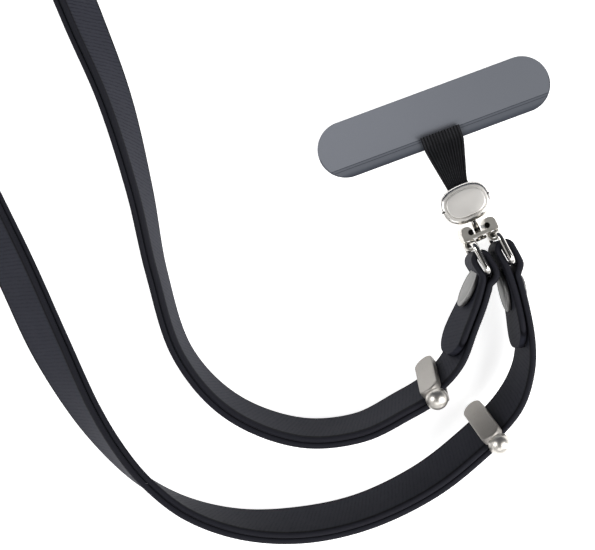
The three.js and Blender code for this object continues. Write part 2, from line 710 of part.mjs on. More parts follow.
// A flat ribbon from the clasp's mouth down to a lap on the patch, wider at the patch
function tetherRibbon() {
  const patch = patchPlacement();
  const neckFrom = CLASP_DISTANCE + CLASP_BREADTH / 2 - RIBBON_SEAT;
  const neck = new THREE.Vector3(0, neckFrom, 0).applyMatrix4(swivelPlacement);
  const mouth = new THREE.Vector3(0, neckFrom + RIBBON_SEAT + CLEARANCE, 0).applyMatrix4(swivelPlacement);
  const footHeight = PATCH_THICKNESS + CLEARANCE + RIBBON_THICKNESS / 2;
  const edge = new THREE.Vector3(0, -PATCH_WIDTH / 2, footHeight).applyMatrix4(patch);
  const foot = new THREE.Vector3(0, -PATCH_WIDTH / 2 + RIBBON_LAP, footHeight).applyMatrix4(patch);
  const slope = edge.clone().sub(mouth);
  const curve = new THREE.CatmullRomCurve3([
    neck,
    mouth,
    mouth.clone().addScaledVector(slope, 0.5).setZ(mix(mouth.z, edge.z, 0.52)),
    edge,
    foot,
  ]);
  const steps = 16;
  const columns = 4;
  const sheet = new THREE.BoxGeometry(1, 1, 1, steps, 1, columns);
  const position = sheet.attributes.position;
  const vertex = new THREE.Vector3();
  const neckShare = neck.distanceTo(mouth) / curve.getLength();
  for (let k = 0; k < position.count; k += 1) {
    vertex.fromBufferAttribute(position, k);
    const share = vertex.x + 0.5;
    const centre = curve.getPointAt(share);
    const along = curve.getTangentAt(share);
    const across = side.clone().applyAxisAngle(UP, -PATCH_YAW * share);
    const normal = new THREE.Vector3().crossVectors(across, along).normalize();
    const widen = THREE.MathUtils.smoothstep(share, neckShare, 0.75);
    const width = mix(RIBBON_NECK, RIBBON_FOOT, widen);
    centre.addScaledVector(normal, vertex.y * RIBBON_THICKNESS).addScaledVector(across, vertex.z * width);
    position.setXYZ(k, centre.x, centre.y, centre.z);
  }
  return piece('tether_ribbon', sheet, RIBBON_BLACK);
}

// Assembly

const endA = {
  hand: 1,
  flapLength: FLAP_LENGTH_A,
  studStation: STUD_STATION_A,
  farStation: SLIDER_STATION_B,
};
const endB = {
  hand: -1,
  flapLength: FLAP_LENGTH_B,
  studStation: STUD_STATION_B,
  farStation: SLIDER_STATION_A,
};

const strap = new THREE.Group();
strap.add(
  tetherPatch(),
  tetherRibbon(),
  ovalClasp(),
  swivelPin(),
  swivelPlate(),
  ring('ring_a', -1),
  ring('ring_b', 1),
  band('strap_band_a', endA),
  band('strap_band_b', endB),
  stud('stud_a', endA),
  stud('stud_b', endB),
  slider('slider_a', 1, SLIDER_STATION_A, SLIDER_TURN_A),
  slider('slider_b', -1, SLIDER_STATION_B, SLIDER_TURN_B),
);

const extent = new THREE.Box3().setFromObject(strap, true);
const middle = extent.getCenter(new THREE.Vector3());
strap.position.set(-middle.x, -middle.y, -extent.min.z);
strap.updateMatrixWorld(true);

export default strap;
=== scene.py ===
"""Looks of a phone crossbody strap: doubled leather, ball sliders, wire rings, swivel and tether tab.

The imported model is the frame. Lengths are millimetres in this file, and become metres when a mesh is made.
"""

import json
import logging
import math
from collections.abc import Callable
from dataclasses import dataclass
from enum import Enum

import bmesh
import bpy
import numpy as np
from mathutils import Matrix, Vector

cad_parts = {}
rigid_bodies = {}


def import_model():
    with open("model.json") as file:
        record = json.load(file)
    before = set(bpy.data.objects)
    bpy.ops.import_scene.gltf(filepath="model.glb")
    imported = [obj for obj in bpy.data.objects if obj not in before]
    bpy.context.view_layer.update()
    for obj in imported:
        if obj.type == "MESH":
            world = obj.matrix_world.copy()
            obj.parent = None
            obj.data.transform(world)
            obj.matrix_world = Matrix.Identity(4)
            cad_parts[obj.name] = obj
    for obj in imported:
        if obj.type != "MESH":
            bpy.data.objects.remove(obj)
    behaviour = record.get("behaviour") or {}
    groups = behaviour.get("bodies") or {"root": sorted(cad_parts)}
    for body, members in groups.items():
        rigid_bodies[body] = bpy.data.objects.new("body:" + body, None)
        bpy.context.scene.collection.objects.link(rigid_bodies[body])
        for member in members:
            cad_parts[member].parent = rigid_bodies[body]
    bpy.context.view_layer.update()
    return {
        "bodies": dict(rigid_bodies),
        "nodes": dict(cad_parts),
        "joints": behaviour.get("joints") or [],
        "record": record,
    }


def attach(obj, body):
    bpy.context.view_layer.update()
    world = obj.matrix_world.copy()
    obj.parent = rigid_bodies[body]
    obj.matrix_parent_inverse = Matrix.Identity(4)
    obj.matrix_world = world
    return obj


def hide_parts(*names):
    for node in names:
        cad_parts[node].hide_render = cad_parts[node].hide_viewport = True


MM = 0.001
UP = Vector((0.0, 0.0, 1.0))
LOG = logging.getLogger("strap")
BEVEL_SEGMENTS = 3
FLOAT = "NodeSocketFloat"
VECTOR = "NodeSocketVector"

Socket = bpy.types.NodeSocket
Node = bpy.types.Node
Tree = bpy.types.NodeTree
Material = bpy.types.Material
Object = bpy.types.Object
Sockets = bpy.types.bpy_prop_collection
Shell = tuple[np.ndarray, list[tuple[int, ...]]]

# Sizes shared with the part's source


@dataclass(frozen=True)
class StrapSizes:
    """Sizes of the real strap, in millimetres and radians."""

    strap_width: float = 15.0
    leather: float = 1.4
    layer_gap: float = 0.35
    loop_spread: float = 200.0
    loop_reach: float = 250.0
    seat_lift: float = 1.7
    fold_gap: float = 1.9
    bulge_close: float = 2.9
    clearance: float = 0.3
    wire_radius: float = 0.65
    ring_depth: float = 7.6
    ring_corner: float = 1.7
    ring_play: float = 0.4
    ring_yaw: float = math.radians(3.6)
    ring_roll: float = math.radians(3.0)
    ring_spacing: float = 6.0
    straight_end: float = 4.3
    swivel_heading: float = math.radians(24.0)
    plate_wall: float = 0.9
    knuckle_wall: float = 0.5

    @property
    def fold_radius(self) -> float:
        """Radius of the leather's middle where it turns round a ring."""
        return (self.leather + self.fold_gap) / 2

    @property
    def layer_offset(self) -> float:
        """Distance of a layer's middle from the middle of the doubled strap."""
        return (self.leather + self.layer_gap) / 2

    @property
    def flap_offset(self) -> float:
        """Distance of a folded flap's middle from the middle of the doubled strap."""
        return self.layer_offset + self.leather + self.layer_gap

    @property
    def turn_offset(self) -> float:
        """Distance of the fold's turning axis from the middle of the doubled strap."""
        return self.flap_offset - self.fold_radius

    @property
    def knuckle_bore(self) -> float:
        """Radius of the hole that a ring turns in."""
        return self.wire_radius + self.clearance

    @property
    def turn_distance(self) -> float:
        """Distance of the fold's turning axis from the ring's bar in its knuckle."""
        return self.knuckle_bore + self.knuckle_wall + self.clearance + self.leather / 2 + self.fold_radius


SIZES = StrapSizes()

# Middle line of the loop: x and y as shares of the loop's spread and reach from the swivel plate,
# lean in degrees, lift as a share of the seat's lift
ROUTE_ROWS = (
    (0.0045, -0.0612, 11, 1), (-0.011, -0.0896, 15, 1), (-0.0275, -0.1208, 15.5, 1),
    (-0.056, -0.1452, 15.5, 1), (-0.0895, -0.1616, 15.5, 1), (-0.1375, -0.1808, 14.5, 0.75),
    (-0.2065, -0.1856, 14.5, 0.4), (-0.286, -0.1616, 11.5, 0.1), (-0.342, -0.1132, 7, 0),
    (-0.373, -0.0376, 6.5, 0), (-0.3925, 0.038, 11.5, 0), (-0.422, 0.124, 20, 0),
    (-0.46, 0.2004, 27, 0), (-0.502, 0.284, 26, 0), (-0.538, 0.382, 18, 0),
    (-0.564, 0.488, 10, 0), (-0.592, 0.594, 4, 0), (-0.639, 0.696, 2, 0),
    (-0.719, 0.757, 2, 0), (-0.826, 0.749, 2, 0), (-0.893, 0.678, 3, 0),
    (-0.897, 0.578, 6, 0), (-0.853, 0.466, 12, 0), (-0.7895, 0.354, 22, 0),
    (-0.7245, 0.254, 31, 0), (-0.656, 0.158, 36, 0), (-0.5745, 0.0244, 38, 0),
    (-0.5365, -0.0372, 37, 0), (-0.497, -0.106, 35, 0), (-0.451, -0.1716, 22, 0),
    (-0.412, -0.212, 12, 0), (-0.381, -0.2352, 5, 0), (-0.337, -0.2568, -4.5, 0),
    (-0.276, -0.2708, -13, 0.1), (-0.2065, -0.2716, -20, 0.35), (-0.136, -0.2596, -21, 0.7),
    (-0.0655, -0.2328, -22, 0.95), (-0.015, -0.2024, -22, 1), (0.037, -0.1604, -20.5, 1),
    (0.055, -0.1272, -13, 1), (0.058, -0.0992, -9, 1), (0.052, -0.0632, -6, 1),
)


class End(Enum):
    """The two ends of the loop. The value is the side of travel on which the flap folds."""

    FIRST = 1
    SECOND = -1


class Polish(Enum):
    """Spread of the roughness and depth of the relief, in millimetres, of a plating."""

    SATIN = (0.08, 0.012)
    MIRROR = (0.03, 0.002)


# Node trees


class NodeSheet:
    """A node tree that is filled with short calls."""

    def __init__(self, tree: Tree) -> None:
        """Keep the tree."""
        self.tree = tree

    def add(self, kind: str, settings: dict | None = None) -> Node:
        """Add a node.

        Args:
            kind: The node's type name.
            settings: Properties of the node to set.

        Returns:
            The new node.
        """
        node = self.tree.nodes.new(kind)
        for name, value in (settings or {}).items():
            setattr(node, name, value)
        return node

    def feed(self, socket: Socket, value: object) -> None:
        """Link a socket to another one, or give it a value.

        Args:
            socket: The input to set.
            value: An output socket to link, or a plain value.
        """
        if isinstance(value, Socket):
            self.tree.links.new(value, socket)
        elif value is not None:
            socket.default_value = value

    def call(self, kind: str, inputs: dict | None = None, **settings: object) -> Node:
        """Add a node and feed its inputs.

        Args:
            kind: The node's type name.
            inputs: Input name or index to an output socket or a value.
            **settings: Properties of the node to set.

        Returns:
            The new node.
        """
        node = self.add(kind, settings)
        for key, value in (inputs or {}).items():
            self.feed(node.inputs[key], value)
        return node

    def assign(self, node: Node, **values: object) -> None:
        """Feed a node's named inputs.

        Args:
            node: The node.
            **values: Input name, with underscores for spaces, to a socket or value.
        """
        for name, value in values.items():
            self.feed(node.inputs[name.replace("_", " ")], value)

    def math(self, operation: str, *values: object, clamp: bool = False) -> Socket:
        """Add a Math node.

        Args:
            operation: The operation's name.
            *values: Its operands, sockets or numbers.
            clamp: Whether to clamp the result to 0 and 1.

        Returns:
            The result's socket.
        """
        node = self.add("ShaderNodeMath", {"operation": operation, "use_clamp": clamp})
        for i, value in enumerate(values):
            self.feed(node.inputs[i], value)
        return node.outputs[0]

    def times(self, *values: object) -> Socket:
        """Multiply two values."""
        return self.math("MULTIPLY", *values)

    def plus(self, *values: object, clamp: bool = False) -> Socket:
        """Add two values."""
        return self.math("ADD", *values, clamp=clamp)

    def scaled(self, value: object, factor: object, start: object) -> Socket:
        """Multiply a value by a factor and add a start."""
        return self.math("MULTIPLY_ADD", value, factor, start)

    def minus(self, *values: object) -> Socket:
        """Subtract the second value from the first."""
        return self.math("SUBTRACT", *values)

    def absolute(self, value: object) -> Socket:
        """Drop a value's sign."""
        return self.math("ABSOLUTE", value)

    def split(self, vector: Socket) -> Sockets:
        """Split a vector into its x, y and z."""
        return self.call("ShaderNodeSeparateXYZ", {0: vector}).outputs

    def join(self, *values: object) -> Socket:
        """Join x, y and z into a vector."""
        return self.call("ShaderNodeCombineXYZ", dict(enumerate(values))).outputs[0]

    def noise(self, vector: Socket, scale: object, detail: float) -> Socket:
        """Read a noise texture."""
        return self.call(
            "ShaderNodeTexNoise", {"Vector": vector, "Scale": scale, "Detail": detail},
        ).outputs[0]

    def reading(self, name: str) -> Socket:
        """Read an attribute of the piece as a vector."""
        return self.call("ShaderNodeAttribute", attribute_name=name).outputs["Vector"]

    def bump(self, shader: Node, strength: float, depth: float, height: Socket) -> None:
        """Raise a shader's surface."""
        node = self.call("ShaderNodeBump", {"Strength": strength, "Distance": depth * MM, "Height": height})
        self.feed(shader.inputs["Normal"], node.outputs[0])

    def named(self, name: str, kind: str = "FLOAT_VECTOR") -> Socket:
        """Read a geometry attribute."""
        return self.call(
            "GeometryNodeInputNamedAttribute", {"Name": name}, data_type=kind,
        ).outputs["Attribute"]

    def store(self, geometry: Socket, name: str, value: Socket, kind: str = "FLOAT_VECTOR") -> Socket:
        """Store a geometry attribute on the points."""
        inputs = {"Geometry": geometry, "Name": name, "Value": value}
        return self.call("GeometryNodeStoreNamedAttribute", inputs, data_type=kind, domain="POINT").outputs[0]

    def vector(self, operation: str, *values: object) -> Socket:
        """Add a Vector Math node.

        Args:
            operation: The operation's name.
            *values: Its operands in order; a number after SCALE's vector is its scale.

        Returns:
            The result's socket.
        """
        node = self.add("ShaderNodeVectorMath", {"operation": operation})
        if operation == "SCALE":
            self.feed(node.inputs[0], values[0])
            self.feed(node.inputs["Scale"], values[1])
        else:
            for i, value in enumerate(values):
                self.feed(node.inputs[i], value)
        return node.outputs["Value"] if operation in {"DOT_PRODUCT", "LENGTH"} else node.outputs[0]

    def ramp(
        self, value: object, low: object, high: object, to_low: object = 0.0, to_high: object = 1.0,
    ) -> Socket:
        """Map a value smoothly from one range to another.

        Args:
            value: The value to map.
            low: Start of its range.
            high: End of its range.
            to_low: Result at the start.
            to_high: Result at the end.

        Returns:
            The result's socket.
        """
        node = self.add("ShaderNodeMapRange", {"interpolation_type": "SMOOTHSTEP"})
        for key, item in (
            ("Value", value), ("From Min", low), ("From Max", high), ("To Min", to_low), ("To Max", to_high),
        ):
            self.feed(node.inputs[key], item)
        return node.outputs[0]

    def blend(self, share: object, first: object, second: object, mode: str = "MIX") -> Socket:
        """Mix two colours.

        Args:
            share: How much of the second.
            first: The first colour.
            second: The second colour.
            mode: The blend type.

        Returns:
            The colour's socket.
        """
        node = self.add("ShaderNodeMix", {"data_type": "RGBA", "blend_type": mode})
        self.feed(node.inputs[0], share)
        self.feed(node.inputs[6], first)
        self.feed(node.inputs[7], second)
        return node.outputs[2]


def group_tree(
    name: str, kind: str, inputs: list[tuple], outputs: list[tuple],
) -> tuple[NodeSheet, Node, Node]:
    """Make a node group with named inputs and outputs.

    Args:
        name: The group's name.
        kind: ShaderNodeTree or GeometryNodeTree.
        inputs: Rows of name, socket type and default value or None.
        outputs: Rows of name and socket type.

    Returns:
        The sheet, the group's input node and its output node.
    """
    tree = bpy.data.node_groups.new(name, kind)
    for label, socket_type, default in inputs:
        socket = tree.interface.new_socket(name=label, in_out="INPUT", socket_type=socket_type)
        if default is not None:
            socket.default_value = default
    for label, socket_type in outputs:
        tree.interface.new_socket(name=label, in_out="OUTPUT", socket_type=socket_type)
    sheet = NodeSheet(tree)
    return sheet, sheet.add("NodeGroupInput"), sheet.add("NodeGroupOutput")


def set_inputs(modifier: bpy.types.NodesModifier, values: dict[str, object]) -> None:
    """Set a Geometry Nodes modifier's inputs by their sockets' identifiers.

    Args:
        modifier: The modifier.
        values: Input name to value.
    """
    for item in modifier.node_group.interface.items_tree:
        if item.item_type == "SOCKET" and item.in_out == "INPUT" and item.name in values:
            modifier[item.identifier] = values[item.name]


# Shader groups


def grain_group() -> Tree:
    """Build the pressed cross grain: rows of short dashes square to the strap's edges.

    Returns:
        A group that gives the grain's height and a mask of its dark dashes.
    """
    rows = [
        ("Vector", VECTOR, None),
        ("Pitch", FLOAT, 0.0009),
        ("Dash", FLOAT, 0.0016),
        ("Skew", FLOAT, -0.22),
        ("Wander", FLOAT, 0.35),
    ]
    sheet, given, result = group_tree(
        "cross_grain", "ShaderNodeTree", rows, [("Height", FLOAT), ("Dashes", FLOAT)],
    )
    per = sheet.math("DIVIDE", 1.0, given.outputs["Pitch"])
    scaled = sheet.vector("SCALE", given.outputs["Vector"], per)
    drift = sheet.noise(scaled, 0.45, 2.0)
    parts = sheet.split(scaled)
    swing = sheet.times(sheet.minus(drift, 0.5), sheet.times(given.outputs["Wander"], 5.0))
    row = sheet.plus(sheet.scaled(parts[1], given.outputs["Skew"], parts[0]), swing)
    place_in_row = sheet.absolute(sheet.minus(sheet.math("FRACT", row), 0.5))
    line = sheet.ramp(place_in_row, 0.04, 0.27, 1.0, 0.0)
    height = sheet.split(given.outputs["Vector"])[1]
    along_dash = sheet.math("DIVIDE", height, given.outputs["Dash"])
    cell = sheet.join(sheet.times(sheet.math("FLOOR", row), 3.7), along_dash)
    kept = sheet.ramp(sheet.noise(cell, 1.4, 1.0), 0.36, 0.60, 0.35, 1.0)
    dashes = sheet.times(line, kept)
    pebble = sheet.call("ShaderNodeTexVoronoi", {"Vector": scaled, "Scale": 2.6}, feature="F1")
    raised = sheet.minus(sheet.times(pebble.outputs["Distance"], -0.45), dashes)
    sheet.assign(result, Height=raised)
    sheet.assign(result, Dashes=dashes)
    return sheet.tree


def cloud_group() -> Tree:
    """Build slow and fine variation for colour and roughness.

    Returns:
        A group that gives a slow value, a fine value and faint scratches, each from 0 to 1.
    """
    rows = [("Vector", VECTOR, None), ("Slow Scale", FLOAT, 40.0), ("Fine Scale", FLOAT, 900.0)]
    outputs = [("Slow", FLOAT), ("Fine", FLOAT), ("Scratches", FLOAT)]
    sheet, given, result = group_tree("cloud_and_scratch", "ShaderNodeTree", rows, outputs)
    place, fine = given.outputs["Vector"], given.outputs["Fine Scale"]
    sheet.assign(result, Slow=sheet.noise(place, given.outputs["Slow Scale"], 3.0))
    sheet.assign(result, Fine=sheet.noise(place, fine, 2.0))
    stretched = sheet.vector("MULTIPLY", place, (1.0, 0.06, 0.25))
    marks = sheet.noise(stretched, sheet.times(fine, 3.0), 1.0)
    sheet.assign(result, Scratches=sheet.ramp(marks, 0.56, 0.72))
    return sheet.tree


def lozenge_group() -> Tree:
    """Build the distance from the edge of a lozenge with round ends.

    Returns:
        A group that gives the distance inside the outline, in metres.
    """
    rows = [("Vector", VECTOR, None), ("Half Length", FLOAT, 0.02875), ("Half Width", FLOAT, 0.00665)]
    sheet, given, result = group_tree("lozenge_inset", "ShaderNodeTree", rows, [("Inset", FLOAT)])
    parts = sheet.split(given.outputs["Vector"])
    straight = sheet.minus(given.outputs["Half Length"], given.outputs["Half Width"])
    past = sheet.math("MAXIMUM", sheet.minus(sheet.absolute(parts[0]), straight), 0.0)
    reach = sheet.vector("LENGTH", sheet.join(past, parts[1]))
    sheet.assign(result, Inset=sheet.minus(given.outputs["Half Width"], reach))
    return sheet.tree


def weave_group() -> Tree:
    """Build the plain weave of a narrow ribbon.

    Returns:
        A group that gives the weave's height.
    """
    rows = [("Vector", VECTOR, None), ("Along", FLOAT, 0.0004), ("Across", FLOAT, 0.0004)]
    sheet, given, result = group_tree("ribbon_weave", "ShaderNodeTree", rows, [("Height", FLOAT)])
    parts = sheet.split(given.outputs["Vector"])
    along = sheet.math("DIVIDE", parts[0], given.outputs["Along"])
    across = sheet.math("DIVIDE", parts[1], given.outputs["Across"])
    shift = sheet.times(sheet.math("FLOORED_MODULO", sheet.math("FLOOR", across), 2.0), 0.5)
    wave = sheet.math("SINE", sheet.times(sheet.plus(along, shift), 2 * math.pi))
    sheet.assign(result, Height=sheet.scaled(wave, 0.5, 0.5))
    return sheet.tree


class ShaderKit:
    """The shader groups, built once and shared by the finishes."""

    def __init__(self) -> None:
        """Build every group."""
        self.grain = grain_group()
        self.cloud = cloud_group()
        self.lozenge = lozenge_group()
        self.weave = weave_group()

    @staticmethod
    def place(sheet: NodeSheet, tree: Tree, **values: object) -> Node:
        """Place a group in a material.

        Args:
            sheet: The material's sheet.
            tree: The group.
            **values: Input name, with underscores for spaces, to a socket or value.

        Returns:
            The group's node.
        """
        node = sheet.add("ShaderNodeGroup", {"node_tree": tree})
        sheet.assign(node, **values)
        return node


# Finishes


@dataclass(frozen=True)
class Finish:
    """What one material looks like."""

    kit: ShaderKit

    def fill(self, sheet: NodeSheet, shader: Node) -> None:
        """Feed the shader with this finish's colours and relief."""
        raise NotImplementedError

    def clouds(self, sheet: NodeSheet, place: Socket, slow: float, fine: float) -> Sockets:
        """Add the slow and fine variation at two scales."""
        return self.kit.place(sheet, self.kit.cloud, Vector=place, Slow_Scale=slow, Fine_Scale=fine).outputs

    def material(self, name: str) -> Material:
        """Build the material.

        Args:
            name: The material's name.

        Returns:
            The material.
        """
        material = bpy.data.materials.new(name)
        material.use_nodes = True
        material.node_tree.nodes.clear()
        sheet = NodeSheet(material.node_tree)
        shader = sheet.add("ShaderNodeBsdfPrincipled")
        sheet.call("ShaderNodeOutputMaterial", {"Surface": shader.outputs[0]})
        self.fill(sheet, shader)
        return material


@dataclass(frozen=True)
class LeatherFinish(Finish):
    """Black pressed leather with painted edges."""

    face: tuple = (0.0165, 0.0175, 0.0255, 1.0)
    face_light: tuple = (0.0290, 0.0302, 0.0410, 1.0)
    dash: tuple = (0.0040, 0.0040, 0.0060, 1.0)
    near_edge_dark: tuple = (0.0060, 0.0060, 0.0080, 1.0)
    paint: tuple = (0.0165, 0.0167, 0.0215, 1.0)
    width: float = 15.0
    groove_shade: tuple = (0.0022, 0.0022, 0.0032, 1.0)
    edge_band: float = 0.7
    rolled_edge: float = 1.8
    grain_pitch: float = 0.95
    dash_length: float = 2.2
    grain_skew: float = -0.22
    grain_wander: float = 0.12
    grain_middle: float = 385.0
    grain_full: float = 140.0
    grain_faint: float = 250.0
    faint_share: float = 0.3
    dash_share: float = 0.42
    near_edge_dark_share: float = 0.6
    groove_shade_share: float = 0.75
    groove_shade_full: float = 0.1
    groove_shade_end: float = 0.32
    edge_soft: float = 0.55
    rough: float = 0.56
    relief_depth: float = 0.1
    relief_strength: float = 0.45
    gloss: float = 0.04
    sheen: float = 0.01
    sheen_rough: float = 0.4
    slow_scale: float = 70.0
    fine_scale: float = 1500.0

    def fill(self, sheet: NodeSheet, shader: Node) -> None:
        """Feed the shader with this finish's colours and relief.

        Args:
            sheet: The material's sheet.
            shader: Its Principled node.
        """
        place = sheet.reading("strap_place")
        grain = self.kit.place(
            sheet, self.kit.grain, Vector=place, Pitch=self.grain_pitch * MM, Dash=self.dash_length * MM,
            Skew=self.grain_skew, Wander=self.grain_wander,
        )
        cloud = self.clouds(sheet, place, self.slow_scale, self.fine_scale)
        along, across = sheet.split(place)[:2]
        height = sheet.absolute(across)
        edge_from = (self.width / 2 - self.edge_band) * MM
        edge = sheet.ramp(height, edge_from, edge_from + self.edge_soft * MM)
        rolled = sheet.ramp(height, (self.width / 2 - self.rolled_edge) * MM, edge_from)
        tone = sheet.blend(cloud["Slow"], self.face, self.face_light)
        from_middle = sheet.absolute(sheet.minus(along, self.grain_middle * MM))
        kept = sheet.ramp(from_middle, self.grain_full * MM, self.grain_faint * MM, 1.0, self.faint_share)
        dashes = sheet.times(grain.outputs["Dashes"], kept)
        dashed = sheet.blend(sheet.times(dashes, self.dash_share), tone, self.dash)
        # Darker towards the long edges, over the rolled part of the face.
        near_edge_darkened = sheet.blend(sheet.times(rolled, self.near_edge_dark_share), dashed, self.near_edge_dark)
        painted = sheet.blend(edge, near_edge_darkened, self.paint)
        # Painted shade: a near-black line along the border of each face, which deepens the groove between the
        # layers.
        beside = sheet.absolute(sheet.minus(height, edge_from))
        groove_shade_mask = sheet.minus(1.0, sheet.ramp(beside, self.groove_shade_full * MM, self.groove_shade_end * MM))
        groove_shaded = sheet.blend(sheet.times(groove_shade_mask, self.groove_shade_share), painted, self.groove_shade)
        sheet.assign(shader, Base_Color=groove_shaded)
        face_rough = sheet.scaled(dashes, 0.2, self.rough)
        varied = sheet.scaled(cloud["Fine"], 0.08, face_rough)
        sheet.assign(shader, Roughness=sheet.scaled(edge, -0.1, varied))
        smooth = sheet.minus(1.0, edge)
        relief = sheet.times(sheet.times(grain.outputs["Height"], kept), smooth)
        beads = sheet.times(sheet.times(cloud["Slow"], edge), 0.8)
        sheet.bump(shader, self.relief_strength, self.relief_depth, sheet.plus(relief, beads))
        sheet.assign(shader, Specular_IOR_Level=self.gloss)
        sheet.assign(shader, Sheen_Weight=self.sheen, Sheen_Roughness=self.sheen_rough)


@dataclass(frozen=True)
class MetalFinish(Finish):
    """Plated zinc, satin or polished."""

    polish: Polish
    tint: tuple = (0.383, 0.364, 0.340, 1.0)
    shade: tuple = (0.350, 0.332, 0.310, 1.0)
    roughness: float = 0.5
    dark_split_and_shade: tuple = (0.012, 0.011, 0.010, 1.0)
    slow_scale: float = 180.0
    fine_scale: float = 2600.0
    relief_strength: float = 0.35

    def marks(self, sheet: NodeSheet, place: Socket) -> Socket | float:
        """Find the spots painted dark; plain plating has none."""
        return 0.0

    def fill(self, sheet: NodeSheet, shader: Node) -> None:
        """Feed the shader with this finish's colours and relief.

        Args:
            sheet: The material's sheet.
            shader: Its Principled node.
        """
        place = sheet.reading("piece_place")
        cloud = self.clouds(sheet, place, self.slow_scale, self.fine_scale)
        plated = sheet.blend(cloud["Slow"], self.shade, self.tint)
        # Dark spots: the real split line of the clasp's rim, and painted shade in the hollows of the swivel
        # plate.
        sheet.assign(shader, Base_Color=sheet.blend(self.marks(sheet, place), plated, self.dark_split_and_shade))
        sheet.assign(shader, Metallic=1.0)
        spread, depth = self.polish.value
        rough = sheet.scaled(cloud["Scratches"], spread, self.roughness)
        sheet.assign(shader, Roughness=sheet.scaled(cloud["Fine"], spread, rough))
        sheet.bump(shader, self.relief_strength, depth, cloud["Fine"])


@dataclass(frozen=True)
class PlateFinish(MetalFinish):
    """Polished plating of the swivel plate, with painted shade inside the curl of each shoulder."""

    hollow_side: float = 2.0
    hollow_front: float = 0.75
    hollow_radius: float = 0.72

    def marks(self, sheet: NodeSheet, place: Socket) -> Socket:
        """Find the hollow in each shoulder, where shade is painted.

        Args:
            sheet: The material's sheet.
            place: The place on the piece, in metres.

        Returns:
            A mask from 0 to 1.
        """
        parts = sheet.split(place)
        sideways = sheet.minus(sheet.absolute(parts[0]), self.hollow_side * MM)
        forward = sheet.minus(parts[1], self.hollow_front * MM)
        reach = sheet.vector("LENGTH", sheet.join(sideways, forward))
        return sheet.ramp(reach, self.hollow_radius * 0.8 * MM, self.hollow_radius * 1.1 * MM, 1.0, 0.0)


@dataclass(frozen=True)
class RimFinish(MetalFinish):
    """Polished plating of the clasp's rim, with the split between its halves at both ends."""

    from_middle: float = 5.1
    split: float = 0.16

    def marks(self, sheet: NodeSheet, place: Socket) -> Socket:
        """Find the split line at the ends of the rim.

        Args:
            sheet: The material's sheet.
            place: The place on the piece, in metres.

        Returns:
            A mask from 0 to 1.
        """
        parts = sheet.split(place)
        near = sheet.ramp(sheet.absolute(parts[1]), self.split * MM, 1.4 * self.split * MM, 1.0, 0.0)
        outer = sheet.ramp(sheet.absolute(parts[0]), self.from_middle * MM, (self.from_middle + 0.2) * MM)
        return sheet.times(near, outer)


@dataclass(frozen=True)
class RibbonFinish(Finish):
    """Black ribbed webbing."""

    thread: tuple = (0.0030, 0.0030, 0.0040, 1.0)
    highlight: tuple = (0.0550, 0.0550, 0.0640, 1.0)
    crest_from: float = 0.36
    along: float = 0.42
    across: float = 0.38
    rough: float = 0.68
    relief_strength: float = 0.6
    relief_depth: float = 0.06
    slow_scale: float = 300.0
    fine_scale: float = 3000.0

    def fill(self, sheet: NodeSheet, shader: Node) -> None:
        """Feed the shader with this finish's colours and relief.

        Args:
            sheet: The material's sheet.
            shader: Its Principled node.
        """
        place = sheet.reading("ribbon_place")
        weave = self.kit.place(
            sheet, self.kit.weave, Vector=place, Along=self.along * MM, Across=self.across * MM,
        )
        cloud = self.clouds(sheet, place, self.slow_scale, self.fine_scale)
        rise = sheet.split(place)[2]
        crest = sheet.ramp(rise, self.crest_from * MM, (self.crest_from + 0.06) * MM)
        share = sheet.times(sheet.times(weave.outputs["Height"], crest), cloud["Slow"])
        sheet.assign(shader, Base_Color=sheet.blend(share, self.thread, self.highlight))
        sheet.assign(shader, Roughness=sheet.scaled(cloud["Fine"], 0.15, self.rough))
        height = sheet.plus(weave.outputs["Height"], sheet.times(cloud["Fine"], 0.4))
        sheet.bump(shader, self.relief_strength, self.relief_depth, height)
        sheet.assign(shader, Specular_IOR_Level=0.2, Sheen_Weight=0.03)


